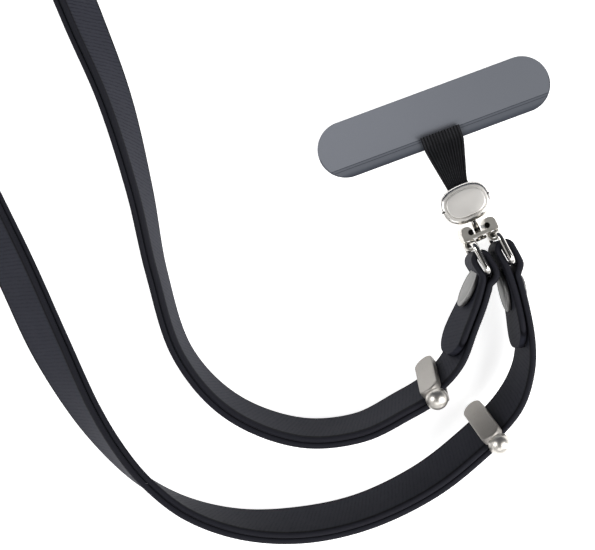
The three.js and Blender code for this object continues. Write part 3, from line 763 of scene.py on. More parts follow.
@dataclass(frozen=True)
class TabFinish(Finish):
    """Blue-grey satin sheet with painted shade that darkens it from one end to the other, and a darker strip
    with pressed lines along its lower long edge.
    """

    centre: tuple = (0.180, 0.190, 0.216, 1.0)
    far: tuple = (0.140, 0.149, 0.170, 1.0)
    border: tuple = (0.030, 0.037, 0.052, 1.0)
    line: tuple = (0.024, 0.028, 0.040, 1.0)
    half_width: float = 6.65
    strip: float = 2.7
    shade_slope_reach: float = 26.0
    line_gap: float = 0.6
    line_half: float = 0.1
    border_half: float = 0.3
    line_share: float = 0.7
    speckle_share: float = 0.25
    rough: float = 0.5
    relief_strength: float = 0.4
    relief_depth: float = 0.04
    slow_scale: float = 45.0
    fine_scale: float = 5000.0

    def fill(self, sheet: NodeSheet, shader: Node) -> None:
        """Feed the shader with this finish's colours and relief.

        Args:
            sheet: The material's sheet.
            shader: Its Principled node.
        """
        place = sheet.reading("piece_place")
        parts = sheet.split(place)
        inset = self.kit.place(sheet, self.kit.lozenge, Vector=place).outputs["Inset"]
        cloud = self.clouds(sheet, place, self.slow_scale, self.fine_scale)
        # Painted shade: the sheet darkens steadily from one end to the other.
        shade_slope = sheet.ramp(parts[0], -self.shade_slope_reach * MM, self.shade_slope_reach * MM)
        tone = sheet.blend(shade_slope, self.centre, self.far)
        speckled = sheet.blend(sheet.times(cloud["Fine"], self.speckle_share), tone, self.border)
        # Darker along the lower long edge, darkest at the edge itself, with two fine lines and a line along
        # the outline.
        from_edge = sheet.plus(parts[1], self.half_width * MM)
        lower = sheet.ramp(parts[1], 0.0, -0.5 * MM)
        strip = sheet.ramp(from_edge, (self.strip + 0.15) * MM, self.strip * MM)
        lines = [
            sheet.math("COMPARE", from_edge, at * MM, self.line_half * MM)
            for at in (self.strip, self.strip - self.line_gap)
        ]
        border = sheet.times(sheet.math("COMPARE", inset, 0.0, self.border_half * MM), lower)
        both = sheet.plus(sheet.plus(*lines, clamp=True), border, clamp=True)
        darker_to_edge = sheet.ramp(from_edge, 1.5 * MM, 0.2 * MM, 0.5, 1.0)
        bordered = sheet.blend(sheet.times(strip, darker_to_edge), speckled, self.border)
        sheet.assign(shader, Base_Color=sheet.blend(sheet.times(both, self.line_share), bordered, self.line))
        sheet.assign(shader, Roughness=sheet.scaled(cloud["Slow"], 0.12, self.rough))
        relief = sheet.minus(sheet.times(cloud["Fine"], 0.3), both)
        sheet.bump(shader, self.relief_strength, self.relief_depth, relief)


@dataclass(frozen=True)
class FloorFinish(Finish):
    """Plain pale floor."""

    tone: tuple = (0.92, 0.92, 0.92, 1.0)
    shade: tuple = (0.90, 0.90, 0.90, 1.0)
    glow: tuple = (1.0, 1.0, 1.0, 1.0)
    glow_strength: float = 0.78
    slow_scale: float = 4.0
    fine_scale: float = 60.0

    def fill(self, sheet: NodeSheet, shader: Node) -> None:
        """Feed the shader with this finish's colours and relief.

        Args:
            sheet: The material's sheet.
            shader: Its Principled node.
        """
        place = sheet.call("ShaderNodeTexCoord").outputs["Object"]
        cloud = self.clouds(sheet, place, self.slow_scale, self.fine_scale)
        sheet.assign(shader, Base_Color=sheet.blend(cloud["Slow"], self.tone, self.shade))
        sheet.assign(shader, Roughness=0.7, Specular_IOR_Level=0.2)
        sheet.assign(shader, Emission_Color=self.glow, Emission_Strength=self.glow_strength)


# Mesh making


def unit(rows: np.ndarray) -> np.ndarray:
    """Bring each row to length 1."""
    return rows / np.linalg.norm(rows, axis=1, keepdims=True)


def loft(rings: list[np.ndarray], cyclic: bool = False) -> Shell:
    """Join closed outlines of equal point counts into a closed surface.

    Args:
        rings: Outlines, each an array of points, in order.
        cyclic: Whether the last outline joins the first, in place of two end faces.

    Returns:
        The vertices and the faces.
    """
    count, size = len(rings), len(rings[0])
    faces: list[tuple[int, ...]] = []
    for i in range(count if cyclic else count - 1):
        a, b = i * size, (i + 1) % count * size
        for j in range(size):
            k = (j + 1) % size
            faces.append((a + j, a + k, b + k, b + j))
    if not cyclic:
        faces.append(tuple(reversed(range(size))))
        faces.append(tuple(range((count - 1) * size, count * size)))
    return np.concatenate(rings), faces


def circle(radius: float, height: float, count: int = 64) -> np.ndarray:
    """Points of a circle round local z."""
    angle = np.arange(count) / count * 2 * math.pi
    return np.stack([radius * np.cos(angle), radius * np.sin(angle), np.full(count, height)], 1)


def pill(width: float, length: float, height: float, count: int = 24) -> np.ndarray:
    """Points of a lozenge with round ends, long on local y.

    Args:
        width: Its width on x.
        length: Its length on y.
        height: Its height on z.
        count: How many points on each round end.

    Returns:
        The points.
    """
    radius, straight = width / 2, length / 2 - width / 2
    angle = np.arange(count + 1) / count * math.pi
    top = np.stack([radius * np.cos(angle), straight + radius * np.sin(angle)], 1)
    bottom = np.stack([-radius * np.cos(angle), -straight - radius * np.sin(angle)], 1)
    plan = np.concatenate([top, bottom])
    return np.column_stack([plan, np.full(len(plan), height)])


def rounded_box(width: float, length: float, corner: float, steps: int = 6) -> np.ndarray:
    """Points of a rectangle with round corners.

    Args:
        width: Its width on x.
        length: Its length on y.
        corner: The corners' radius.
        steps: How many steps in each corner.

    Returns:
        The points on a plane.
    """
    points = []
    for i, (sx, sy) in enumerate(((1, 1), (-1, 1), (-1, -1), (1, -1))):
        for j in range(steps + 1):
            angle = (i + j / steps) * math.pi / 2
            points.append((
                sx * (width / 2 - corner) + corner * math.cos(angle),
                sy * (length / 2 - corner) + corner * math.sin(angle),
            ))
    return np.array(points)


def superellipse(
    length: float, breadth: float, height: float, squareness: float, count: int = 96,
) -> np.ndarray:
    """Points of a squarish oval.

    Args:
        length: Its size on x.
        breadth: Its size on y.
        height: Its height on z.
        squareness: The exponent, 2 for an ellipse.
        count: How many points.

    Returns:
        The points.
    """
    angle = np.arange(count) / count * 2 * math.pi
    cos, sin = np.cos(angle), np.sin(angle)
    x = np.sign(cos) * np.abs(cos) ** (2 / squareness) * length / 2
    y = np.sign(sin) * np.abs(sin) ** (2 / squareness) * breadth / 2
    return np.stack([x, y, np.full(count, height)], 1)


def placement(origin: Vector, x: Vector, y: Vector, z: Vector) -> Matrix:
    """Matrix that takes local axes to three directions at a point.

    Args:
        origin: The point.
        x: Direction of local x.
        y: Direction of local y.
        z: Direction of local z.

    Returns:
        The matrix.
    """
    return Matrix((
        (x.x, y.x, z.x, origin.x),
        (x.y, y.y, z.y, origin.y),
        (x.z, y.z, z.z, origin.z),
        (0.0, 0.0, 0.0, 1.0),
    ))


def new_object(name: str, data: bpy.types.ID) -> Object:
    """Link a new object to the scene.

    Args:
        name: Its name.
        data: Its mesh, curve, camera or light.

    Returns:
        The object.
    """
    obj = bpy.data.objects.new(name, data)
    bpy.context.scene.collection.objects.link(obj)
    return obj


class Solid:
    """Closed shells of one piece, gathered in the piece's local frame."""

    def __init__(self) -> None:
        """Start with no shell."""
        self.points: list[np.ndarray] = []
        self.faces: list[tuple[int, ...]] = []
        self.count = 0

    def add(self, shell: Shell, matrix: Matrix | None = None) -> "Solid":
        """Add a shell.

        Args:
            shell: Its vertices and faces.
            matrix: Where it goes in the piece's frame.

        Returns:
            The solid itself.
        """
        points, faces = shell
        if matrix is not None:
            grid = np.array(matrix)
            points = points @ grid[:3, :3].T + grid[:3, 3]
        self.points.append(points)
        self.faces += [tuple(i + self.count for i in face) for face in faces]
        self.count += len(points)
        return self

    def build(
        self, name: str, matrix: Matrix, *materials: Material, sharp: float, bevel: float = 0.0,
    ) -> Object:
        """Make the finished object.

        Args:
            name: The object's name.
            matrix: Takes the piece's frame to the part's frame, both in millimetres.
            *materials: Its materials, the first one for every face.
            sharp: Angle in degrees past which an edge is sharp.
            bevel: Width of a bevel on sharp edges, or 0.

        Returns:
            The object, at the origin with its place in its mesh.
        """
        local = np.concatenate(self.points)
        grid = np.array(matrix)
        placed = (local @ grid[:3, :3].T + grid[:3, 3]) * MM
        mesh = bpy.data.meshes.new(name)
        mesh.from_pydata(placed.tolist(), [], self.faces)
        attribute = mesh.attributes.new("piece_place", "FLOAT_VECTOR", "POINT")
        attribute.data.foreach_set("vector", (local * MM).astype(np.float32).ravel())
        face_outwards(mesh)
        obj = new_object(name, mesh)
        mesh.shade_smooth()
        mesh.set_sharp_from_angle(angle=math.radians(sharp))
        if bevel > 0:
            modifier = obj.modifiers.new("edge_round", "BEVEL")
            modifier.width = bevel * MM
            modifier.segments = BEVEL_SEGMENTS
            modifier.limit_method = "ANGLE"
            modifier.angle_limit = math.radians(sharp)
            modifier.harden_normals = True
            bake_modifiers(obj)
        dress(obj, *materials)
        return obj


def face_outwards(mesh: bpy.types.Mesh) -> None:
    """Turn every face of closed shells outwards.

    Args:
        mesh: The mesh to mend.
    """
    work = bmesh.new()
    work.from_mesh(mesh)
    bmesh.ops.recalc_face_normals(work, faces=work.faces)
    work.to_mesh(mesh)
    work.free()


def bake_modifiers(obj: Object) -> None:
    """Replace an object's mesh by the result of its modifiers, and remove them.

    Args:
        obj: The object.
    """
    graph = bpy.context.evaluated_depsgraph_get()
    made = bpy.data.meshes.new_from_object(
        obj.evaluated_get(graph), preserve_all_data_layers=True, depsgraph=graph,
    )
    obj.modifiers.clear()
    obj.data = made


def dress(obj: Object, *materials: Material) -> None:
    """Give an object its materials, the first one on every face.

    Args:
        obj: The object.
        *materials: Its materials.
    """
    obj.data.materials.clear()
    for material in materials:
        obj.data.materials.append(material)


def dress_some(obj: Object, chosen: Callable[[Vector], bool]) -> None:
    """Give the second material to the faces whose points all pass a test.

    Args:
        obj: The object.
        chosen: The test of a point in the piece's frame, in metres.
    """
    spots = [Vector(item.vector) for item in obj.data.attributes["piece_place"].data]
    for polygon in obj.data.polygons:
        if all(chosen(spots[i]) for i in polygon.vertices):
            polygon.material_index = 1


def settle(obj: Object, body: str, slot: str, *nodes: str) -> Object:
    """Tell the frame what a finished piece rides on and stands for.

    Args:
        obj: The piece.
        body: The body that it moves with.
        slot: The record's material slot; not used.
        *nodes: The nodes that it replaces.

    Returns:
        The piece.
    """
    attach(obj, body)
    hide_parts(*nodes)
    LOG.info("%s: %d faces on %s", obj.name, len(obj.data.polygons), body)
    return obj


# The swivel's frame and the loop's middle line


class SwivelFrame:
    """Directions and places at the swivel plate."""

    def __init__(self, centre: Vector) -> None:
        """Work out the frame.

        Args:
            centre: The plate's centre, in millimetres.
        """
        heading = SIZES.swivel_heading
        self.centre = centre
        self.forward = Vector((math.sin(heading), -math.cos(heading), 0.0))
        self.side = Vector((math.cos(heading), math.sin(heading), 0.0))
        self.ring_forward = Matrix.Rotation(SIZES.ring_yaw, 3, UP) @ self.forward
        self.ring_up = Matrix.Rotation(-SIZES.ring_roll, 3, self.ring_forward) @ UP
        self.ring_side = self.ring_up.cross(self.ring_forward)
        self.matrix = placement(centre, self.side, -self.forward, UP)

    def ring_bar(self, end: End) -> Vector:
        """Middle of a ring's bar in its knuckle."""
        across = -end.value * SIZES.ring_spacing / 2
        return self.centre + self.forward * (SIZES.plate_wall + SIZES.knuckle_bore) + self.side * across

    def route_end(self, end: End) -> Vector:
        """Where the loop's middle line ends at a ring."""
        aside = self.ring_side * SIZES.turn_offset
        return self.ring_bar(end) + self.ring_forward * SIZES.turn_distance + aside


class SmoothCurve:
    """A centripetal curve through points, as in the part's source."""

    def __init__(self, points: np.ndarray) -> None:
        """Keep the points and measure the curve.

        Args:
            points: The points, one per row.
        """
        first = 2 * points[0] - points[1]
        last = 2 * points[-1] - points[-2]
        self.points = np.concatenate([[first], points, [last]])
        self.spans = len(points) - 1
        steps = np.linspace(0, 1, 4001)
        pieces = np.linalg.norm(np.diff(self.at(steps), axis=0), axis=1)
        self.steps, self.lengths = steps, np.concatenate([[0.0], np.cumsum(pieces)])

    def at(self, t: np.ndarray) -> np.ndarray:
        """Points at shares of the spans.

        Args:
            t: The shares, from 0 to 1.

        Returns:
            The points.
        """
        place = np.clip(np.asarray(t, float), 0, 1) * self.spans
        span = np.minimum(place.astype(int), self.spans - 1)
        w = (place - span)[:, None]
        p0, p1, p2, p3 = (self.points[span + k] for k in range(4))
        d0, d1, d2 = (np.sum((b - a) ** 2, 1)[:, None] ** 0.25 for a, b in ((p0, p1), (p1, p2), (p2, p3)))
        t1 = ((p1 - p0) / d0 - (p2 - p0) / (d0 + d1) + (p2 - p1) / d1) * d1
        t2 = ((p2 - p1) / d1 - (p3 - p1) / (d1 + d2) + (p3 - p2) / d2) * d1
        c2, c3 = -3 * p1 + 3 * p2 - 2 * t1 - t2, 2 * p1 - 2 * p2 + t1 + t2
        return p1 + t1 * w + c2 * w ** 2 + c3 * w ** 3

    @property
    def length(self) -> float:
        """Length of the whole curve."""
        return float(self.lengths[-1])

    def shares(self, distances: np.ndarray) -> np.ndarray:
        """Shares of the spans at distances along the curve."""
        return np.interp(distances, self.lengths, self.steps)

    def tangents(self, t: np.ndarray) -> np.ndarray:
        """Unit directions at shares of the spans."""
        return unit(self.at(np.minimum(t + 1e-4, 1.0)) - self.at(np.maximum(t - 1e-4, 0.0)))


@dataclass
class Stations:
    """Frames of the doubled strap at several distances."""

    point: np.ndarray
    along: np.ndarray
    across: np.ndarray
    up: np.ndarray


class Route:
    """The loop's middle line from the first ring round to the second."""

    def __init__(self, swivel: SwivelFrame) -> None:
        """Lay the line.

        Args:
            swivel: The swivel's frame.
        """
        self.swivel = swivel
        centre, lift = swivel.centre, SIZES.seat_lift
        start, finish = swivel.route_end(End.FIRST), swivel.route_end(End.SECOND)
        after, before = (at + swivel.ring_forward * SIZES.straight_end for at in (start, finish))
        knots = [(start, SIZES.ring_roll, lift), (after, SIZES.ring_roll, lift)]
        for x, y, lean, share in ROUTE_ROWS:
            at = Vector((centre.x + x * SIZES.loop_spread, centre.y + y * SIZES.loop_reach, 0.0))
            knots.append((at, math.radians(lean), share * lift))
        knots += [(before, -SIZES.ring_roll, lift), (finish, -SIZES.ring_roll, lift)]
        self.plan = SmoothCurve(np.array([(at.x, at.y, 0.0) for at, _, _ in knots]))
        self.pose = SmoothCurve(np.array([(i, lean, rise) for i, (_, lean, rise) in enumerate(knots)]))

    @property
    def length(self) -> float:
        """Length of the loop."""
        return self.plan.length

    def stations(self, distances: np.ndarray) -> Stations:
        """Frames at distances along the loop.

        Args:
            distances: The distances.

        Returns:
            The frames.
        """
        t = self.plan.shares(np.clip(distances, 0, self.length))
        point, along, pose = self.plan.at(t), self.plan.tangents(t), self.pose.at(t)
        lean = pose[:, 1:2]
        right = np.stack([along[:, 1], -along[:, 0], np.zeros(len(t))], 1)
        upright = np.array([0.0, 0.0, 1.0])
        up = upright * np.cos(lean) - right * np.sin(lean)
        across = right * np.cos(lean) + upright * np.sin(lean)
        slant = np.abs(np.sin(lean[:, 0])) * (SIZES.leather + SIZES.layer_gap / 2)
        point[:, 2] = np.cos(lean[:, 0]) * SIZES.strap_width / 2 + slant + np.maximum(pose[:, 2], 0)
        return Stations(point, along, across, up)

    def distance(self, end: End, from_ring: float) -> float:
        """Distance along the loop of a place measured from a ring."""
        return from_ring if end is End.FIRST else self.length - from_ring

    def face_frame(self, end: End, from_ring: float, offset: float) -> Matrix:
        """Frame on the strap whose z points out on the flap's side and y up the strap.

        Args:
            end: Which end of the loop.
            from_ring: Distance from that end's ring.
            offset: Distance of the origin from the middle line, outwards.

        Returns:
            The frame.
        """
        found = self.stations(np.array([self.distance(end, from_ring)]))
        outward = Vector(found.across[0]) * end.value
        up = Vector(found.up[0])
        return placement(Vector(found.point[0]) + outward * offset, up.cross(outward), up, outward)


# Leather


def place_sweep(sheet: NodeSheet, swept: Node, sideways: Socket, upwards: Socket) -> Socket:
    """Set each point of a swept surface beside its place on the line.

    Args:
        sheet: The tree's sheet.
        swept: The node that swept the section along the line.
        sideways: Each point's distance along the line's across direction.
        upwards: Each point's distance along the line's up direction.

    Returns:
        The placed geometry.
    """
    beside = sheet.vector("SCALE", sheet.named("across"), sideways)
    above = sheet.vector("SCALE", sheet.named("up"), upwards)
    target = sheet.vector("ADD", sheet.named("line_place"), sheet.vector("ADD", beside, above))
    return sheet.call("GeometryNodeSetPosition", {"Geometry": swept.outputs[0], "Position": target}).outputs[0]


def close_sweep(sheet: NodeSheet, result: Node, geometry: Socket, material: Socket, *own: str) -> Tree:
    """Drop the attributes that only the sweep needs, set the material and end the tree.

    Args:
        sheet: The tree's sheet.
        result: The tree's output node.
        geometry: The placed geometry.
        material: The input socket with the material.
        *own: The tree's own attributes, beside those of every sweep.

    Returns:
        The finished tree.
    """
    for name in ("line_place", "section_place", "across", "up", "arc", *own):
        geometry = sheet.call("GeometryNodeRemoveAttribute", {"Geometry": geometry, "Name": name}).outputs[0]
    real = sheet.call("GeometryNodeRealizeInstances", {"Geometry": geometry})
    covered = sheet.call("GeometryNodeSetMaterial", {"Geometry": real.outputs[0], "Material": material})
    sheet.assign(result, Geometry=covered.outputs[0])
    return sheet.tree


def sweep_line(
    name: str, mesh_name: str, points: np.ndarray, values: dict[str, np.ndarray], tree: Tree, inputs: dict,
) -> Object:
    """Lay a line of vertices with attributes, and sweep a tree's section along it.

    Args:
        name: The object's name.
        mesh_name: The mesh's name.
        points: The line's points, in millimetres.
        values: Attribute name to directions, or to lengths in millimetres.
        tree: The Geometry Nodes tree.
        inputs: The tree's input names to values.

    Returns:
        The swept object.
    """
    arc = np.concatenate([[0.0], np.cumsum(np.linalg.norm(np.diff(points, axis=0), axis=1))])
    mesh = bpy.data.meshes.new(mesh_name)
    mesh.from_pydata((points * MM).tolist(), [(i, i + 1) for i in range(len(points) - 1)], [])
    for label, row in (values | {"arc": arc}).items():
        flat = row.ndim == 1
        attribute = mesh.attributes.new(label, "FLOAT" if flat else "FLOAT_VECTOR", "POINT")
        scaled = row * MM if flat else row
        attribute.data.foreach_set("value" if flat else "vector", scaled.astype(np.float32).ravel())
    obj = new_object(name, mesh)
    modifier = obj.modifiers.new(tree.name, "NODES")
    modifier.node_group = tree
    set_inputs(modifier, inputs)
    bake_modifiers(obj)
    face_outwards(obj.data)
    obj.data.shade_smooth()
    return obj


def band_tree() -> Tree:
    """Build the tree that sweeps a strap's section along its rail.

    The rail is a line of vertices with the attributes across, up, half and arc. The section is a
    curve object drawn at the reference half width.

    Returns:
        The Geometry Nodes tree.
    """
    rows = [
        ("Geometry", "NodeSocketGeometry", None),
        ("Section", "NodeSocketObject", None),
        ("Half Width", FLOAT, 0.0075),
        ("Leather", "NodeSocketMaterial", None),
    ]
    sheet, given, result = group_tree(
        "strap_sweep", "GeometryNodeTree", rows, [("Geometry", "NodeSocketGeometry")],
    )
    position = sheet.add("GeometryNodeInputPosition").outputs[0]
    line = sheet.store(given.outputs["Geometry"], "line_place", position)
    rail = sheet.call("GeometryNodeMeshToCurve", {"Mesh": line})
    info = sheet.call(
        "GeometryNodeObjectInfo", {"Object": given.outputs["Section"]}, transform_space="ORIGINAL",
    )
    section = sheet.store(info.outputs["Geometry"], "section_place", position)
    drawn = {"Curve": rail.outputs[0], "Profile Curve": section, "Fill Caps": True}
    swept = sheet.call("GeometryNodeCurveToMesh", drawn)
    parts = sheet.split(sheet.named("section_place"))
    narrow = sheet.minus(sheet.named("half", "FLOAT"), given.outputs["Half Width"])
    height = sheet.plus(parts[1], sheet.times(sheet.math("SIGN", parts[1]), narrow))
    placed = place_sweep(sheet, swept, parts[0], height)
    kept = sheet.store(placed, "strap_place", sheet.join(sheet.named("arc", "FLOAT"), height, parts[0]))
    return close_sweep(sheet, result, kept, given.outputs["Leather"], "half")


@dataclass
class LeatherBand:
    """One band: a flap folded round a ring, then the long run to its free end."""

    route: Route
    end: End
    node: str
    flap_length: float
    stud_station: float
    far_station: float
    body_width: float = 3.0
    tip_radius: float = 6.2
    edge_radius: float = 0.7
    full_leather: float = 1.46
    face_margin: float = 0.35
    face_line: float = 4.0
    corner_steps: int = 5
    squeeze: float = 0.135
    squeeze_from: float = 15.0
    squeeze_over: float = 12.0
    tip_steps: int = 14
    fold_steps: int = 20
    flap_step: float = 0.8
    bulge_step: float = 0.4
    run_step: float = 1.5

    def half_width(self, from_tip: float) -> float:
        """Half the band's width near its rounded tip.

        Args:
            from_tip: Distance from the tip.

        Returns:
            The half width.
        """
        if from_tip >= self.tip_radius:
            return SIZES.strap_width / 2
        inward = self.tip_radius - from_tip
        rounding = math.sqrt(max(self.tip_radius ** 2 - inward ** 2, 0.0))
        return SIZES.strap_width / 2 - self.tip_radius + rounding

    def bulge(self, distance: np.ndarray) -> np.ndarray:
        """How far the long run stands off the flap to pass round the ring.

        Args:
            distance: Distances from the fold.

        Returns:
            The offsets.
        """
        past = SIZES.ring_depth + SIZES.wire_radius - SIZES.turn_distance
        share = np.clip((distance - past) / SIZES.bulge_close, 0, 1)
        return (SIZES.fold_gap - SIZES.layer_gap) * (1 - share * share * (3 - 2 * share))

    def rail(self) -> tuple[np.ndarray, np.ndarray, np.ndarray]:
        """Centres, up directions and half widths from the flap's tip to the free end.

        Returns:
            The three arrays.
        """
        hand = self.end.value
        tip = [
            self.tip_radius * (1 - math.cos((i + 0.15) / self.tip_steps * math.pi / 2))
            for i in range(self.tip_steps)
        ]
        flap = [self.flap_length - t for t in tip]
        flap += list(np.arange(self.flap_length - self.tip_radius, self.flap_step / 2, -self.flap_step))
        found = self.frames(np.array(flap))
        centres = [found.point + found.across * hand * SIZES.flap_offset]
        ups, halves = [found.up], [self.half_width(self.flap_length - d) for d in flap]
        start = self.frames(np.array([0.0]))
        turn = start.point[0] + start.across[0] * hand * SIZES.turn_offset
        angle = np.linspace(0, math.pi, self.fold_steps + 1)[:, None]
        heading = start.across[0] * np.cos(angle) - start.along[0] * np.sin(angle)
        arc = turn + hand * SIZES.fold_radius * heading
        centres.append(arc)
        ups.append(np.repeat(start.up, len(arc), 0))
        halves += [SIZES.strap_width / 2] * len(arc)
        length = self.route.length - self.far_station - self.body_width / 4
        near = np.arange(self.bulge_step, self.stud_station, self.bulge_step)
        far = np.linspace(self.stud_station, length, int((length - self.stud_station) / self.run_step))
        run = np.concatenate([near, far])
        found = self.frames(run)
        share = np.clip((run - self.squeeze_from) / self.squeeze_over, 0, 1)
        closing = self.squeeze * share * share * (3 - 2 * share)
        offset = (SIZES.layer_offset - self.bulge(run) - closing)[:, None]
        centres.append(found.point + found.across * hand * offset)
        ups.append(found.up)
        halves += [SIZES.strap_width / 2] * len(run)
        return np.concatenate(centres), np.concatenate(ups), np.array(halves)

    def frames(self, distances: np.ndarray) -> Stations:
        """Frames of the doubled strap at distances from this band's ring."""
        return self.route.stations(distances if self.end is End.FIRST else self.route.length - distances)

    def section(self) -> Object:
        """Draw the band's section with rounded long edges.

        Returns:
            A closed curve object.
        """
        depth, outer = self.full_leather / 2, SIZES.strap_width / 2 - self.edge_radius - self.face_margin
        face = [-outer, -self.face_line, 0.0, self.face_line, outer]
        corners = rounded_box(
            self.full_leather, SIZES.strap_width, self.edge_radius, self.corner_steps,
        ).tolist()
        half = len(corners) // 2
        points = [(depth, y) for y in face] + corners[:half] + [(-depth, -y) for y in face] + corners[half:]
        curve = bpy.data.curves.new(f"{self.node}_section", "CURVE")
        spline = curve.splines.new("POLY")
        spline.points.add(len(points) - 1)
        for point, (x, y) in zip(spline.points, points):
            point.co = (x * MM, y * MM, 0.0, 1.0)
        spline.use_cyclic_u = True
        return new_object(curve.name, curve)

    def build(self, tree: Tree, leather: Material) -> Object:
        """Sweep and dress the band.

        Args:
            tree: The sweep's tree.
            leather: The leather.

        Returns:
            The finished band.
        """
        centres, ups, halves = self.rail()
        ahead = np.concatenate([centres[1:], centres[-1:]]) - np.concatenate([centres[:1], centres[:-1]])
        across = unit(np.cross(ups, ahead))
        section = self.section()
        inputs = {"Section": section, "Half Width": SIZES.strap_width / 2 * MM, "Leather": leather}
        values = {"across": across, "up": ups, "half": halves}
        obj = sweep_line(f"{self.node}_leather", self.node, centres, values, tree, inputs)
        bpy.data.objects.remove(section)
        return settle(obj, "strap", "leather", self.node)


# Metal pieces


@dataclass
class DiscStud:
    """A round disc, its shank and a small back disc."""

    route: Route
    end: End
    node: str
    station: float
    radius: float = 5.0
    head: float = 0.9
    back_radius: float = 2.6
    back: float = 0.8
    shank_radius: float = 1.4

    def build(self, metal: Material) -> Object:
        """Turn and dress the stud.

        Args:
            metal: Its metal.

        Returns:
            The finished stud.
        """
        gap = SIZES.clearance
        rear = -(2 * SIZES.leather + SIZES.layer_gap + gap)
        top = gap + self.head
        round_edge = [
            (self.radius - 0.3 + 0.3 * math.sin(a), top - 0.3 + 0.3 * math.cos(a))
            for a in np.linspace(math.pi / 2, 0, 6)
        ]
        profile = [
            (0.3, rear - self.back), (self.back_radius - 0.25, rear - self.back),
            (self.back_radius, rear - self.back + 0.25), (self.back_radius, rear),
            (self.shank_radius, rear), (self.shank_radius, gap), (self.radius - 0.15, gap),
            (self.radius, gap + 0.15), *round_edge, (self.radius - 0.9, top), (self.radius - 1.0, top - 0.06),
            (self.radius - 1.25, top - 0.06), (self.radius - 1.35, top), (1.2, top + 0.02), (0.3, top + 0.02),
        ]
        solid = Solid().add(loft([circle(r, z) for r, z in profile]))
        frame = self.route.face_frame(self.end, self.station, SIZES.flap_offset + SIZES.leather / 2)
        obj = solid.build(f"{self.node}_disc", frame, metal, sharp=50.0)
        return settle(obj, "strap", "satin_metal", self.node)


@dataclass
class BallSlider:
    """A flat bar with a ball, and the frame that holds both layers to it."""

    route: Route
    end: End
    node: str
    station: float
    turn: float
    bar_width: float = 5.0
    bar_depth: float = 1.9
    bar_below: float = 9.0
    bar_above: float = 10.8
    body_width: float = 3.0
    body_height: float = 17.6
    wall: float = 0.7
    play: float = 0.8
    ease: float = 0.5
    rear_ease: float = 0.3
    corner: float = 1.2
    ball_radius: float = 2.6
    ball_rise: float = 10.5
    ball_forward: float = 0.8
    bevel: float = 0.45

    def frame_shell(self, inner_depth: float, inner_height: float) -> Shell:
        """Form the frame round both layers.

        Args:
            inner_depth: Depth of its opening.
            inner_height: Height of its opening.

        Returns:
            The frame's vertices and faces.
        """
        edge, half = 0.2, self.body_width / 2
        saved = self.ease - self.rear_ease
        outer = [(-half, edge), (-half + edge, 0.0), (half - edge, 0.0), (half, edge)]
        depth, rings = inner_depth - saved, []
        plans = [
            (
                along, depth + 2 * (self.wall - inset), self.body_height - 2 * inset,
                self.corner + self.wall - inset,
            )
            for along, inset in outer
        ]
        plans += [(along, depth, inner_height, self.corner) for along in (half, -half)]
        for along, *plan_sizes in plans:
            plan = rounded_box(*plan_sizes)
            rings.append(np.column_stack([np.full(len(plan), along), plan[:, 1], plan[:, 0] + saved / 2]))
        return loft(rings, cyclic=True)

    def bar_shell(self, low: float) -> Shell:
        """Form the flat bar with its rounded rim.

        Args:
            low: Height of its rear face.

        Returns:
            The bar's vertices and faces.
        """
        high = low + self.bar_depth
        turn = np.linspace(0.0, math.pi / 2, 7)
        rim = [(self.bevel * (1 - math.cos(a)), high - self.bevel + self.bevel * math.sin(a)) for a in turn]
        levels = [
            (0.12, low), (0.0, low + 0.12), *rim, (self.bevel + 0.5, high + 0.015),
            (self.bevel + 1.2, high + 0.03),
        ]
        length = self.bar_below + self.bar_above
        shells = [pill(self.bar_width - 2 * inset, length - 2 * inset, z) for inset, z in levels]
        shift = (self.bar_above - self.bar_below) / 2
        return loft([shell + np.array([0.0, shift, 0.0]) for shell in shells])

    def build(self, metal: Material, ball_metal: Material) -> Object:
        """Form and dress the slider.

        Args:
            metal: Metal of the bar and frame.
            ball_metal: Metal of the ball.

        Returns:
            The finished slider.
        """
        inner_depth = 2 * (SIZES.leather + self.ease) + SIZES.layer_gap
        inner_height = SIZES.strap_width + 2 * self.play
        solid = Solid().add(self.frame_shell(inner_depth, inner_height))
        solid.add(self.bar_shell(inner_depth / 2))
        upright = Matrix(
            ((1, 0, 0, 0), (0, 0, 1, self.ball_rise), (0, -1, 0, self.ball_forward), (0, 0, 0, 1))
        )
        angles = np.linspace(0.03, math.pi - 0.03, 48)
        solid.add(
            loft([circle(self.ball_radius * math.sin(a), -self.ball_radius * math.cos(a)) for a in angles]),
            upright,
        )
        place = self.route.face_frame(self.end, self.station, 0.0) @ Matrix.Rotation(-self.turn, 4, "Z")
        obj = solid.build(f"{self.node}_bar", place, metal, ball_metal, sharp=40.0)
        centre = Vector((0.0, self.ball_rise, self.ball_forward)) * MM
        reach = (self.ball_radius + 0.02) * MM
        dress_some(obj, lambda spot: (spot - centre).length < reach)
        return settle(obj, "strap", "satin_metal", self.node)


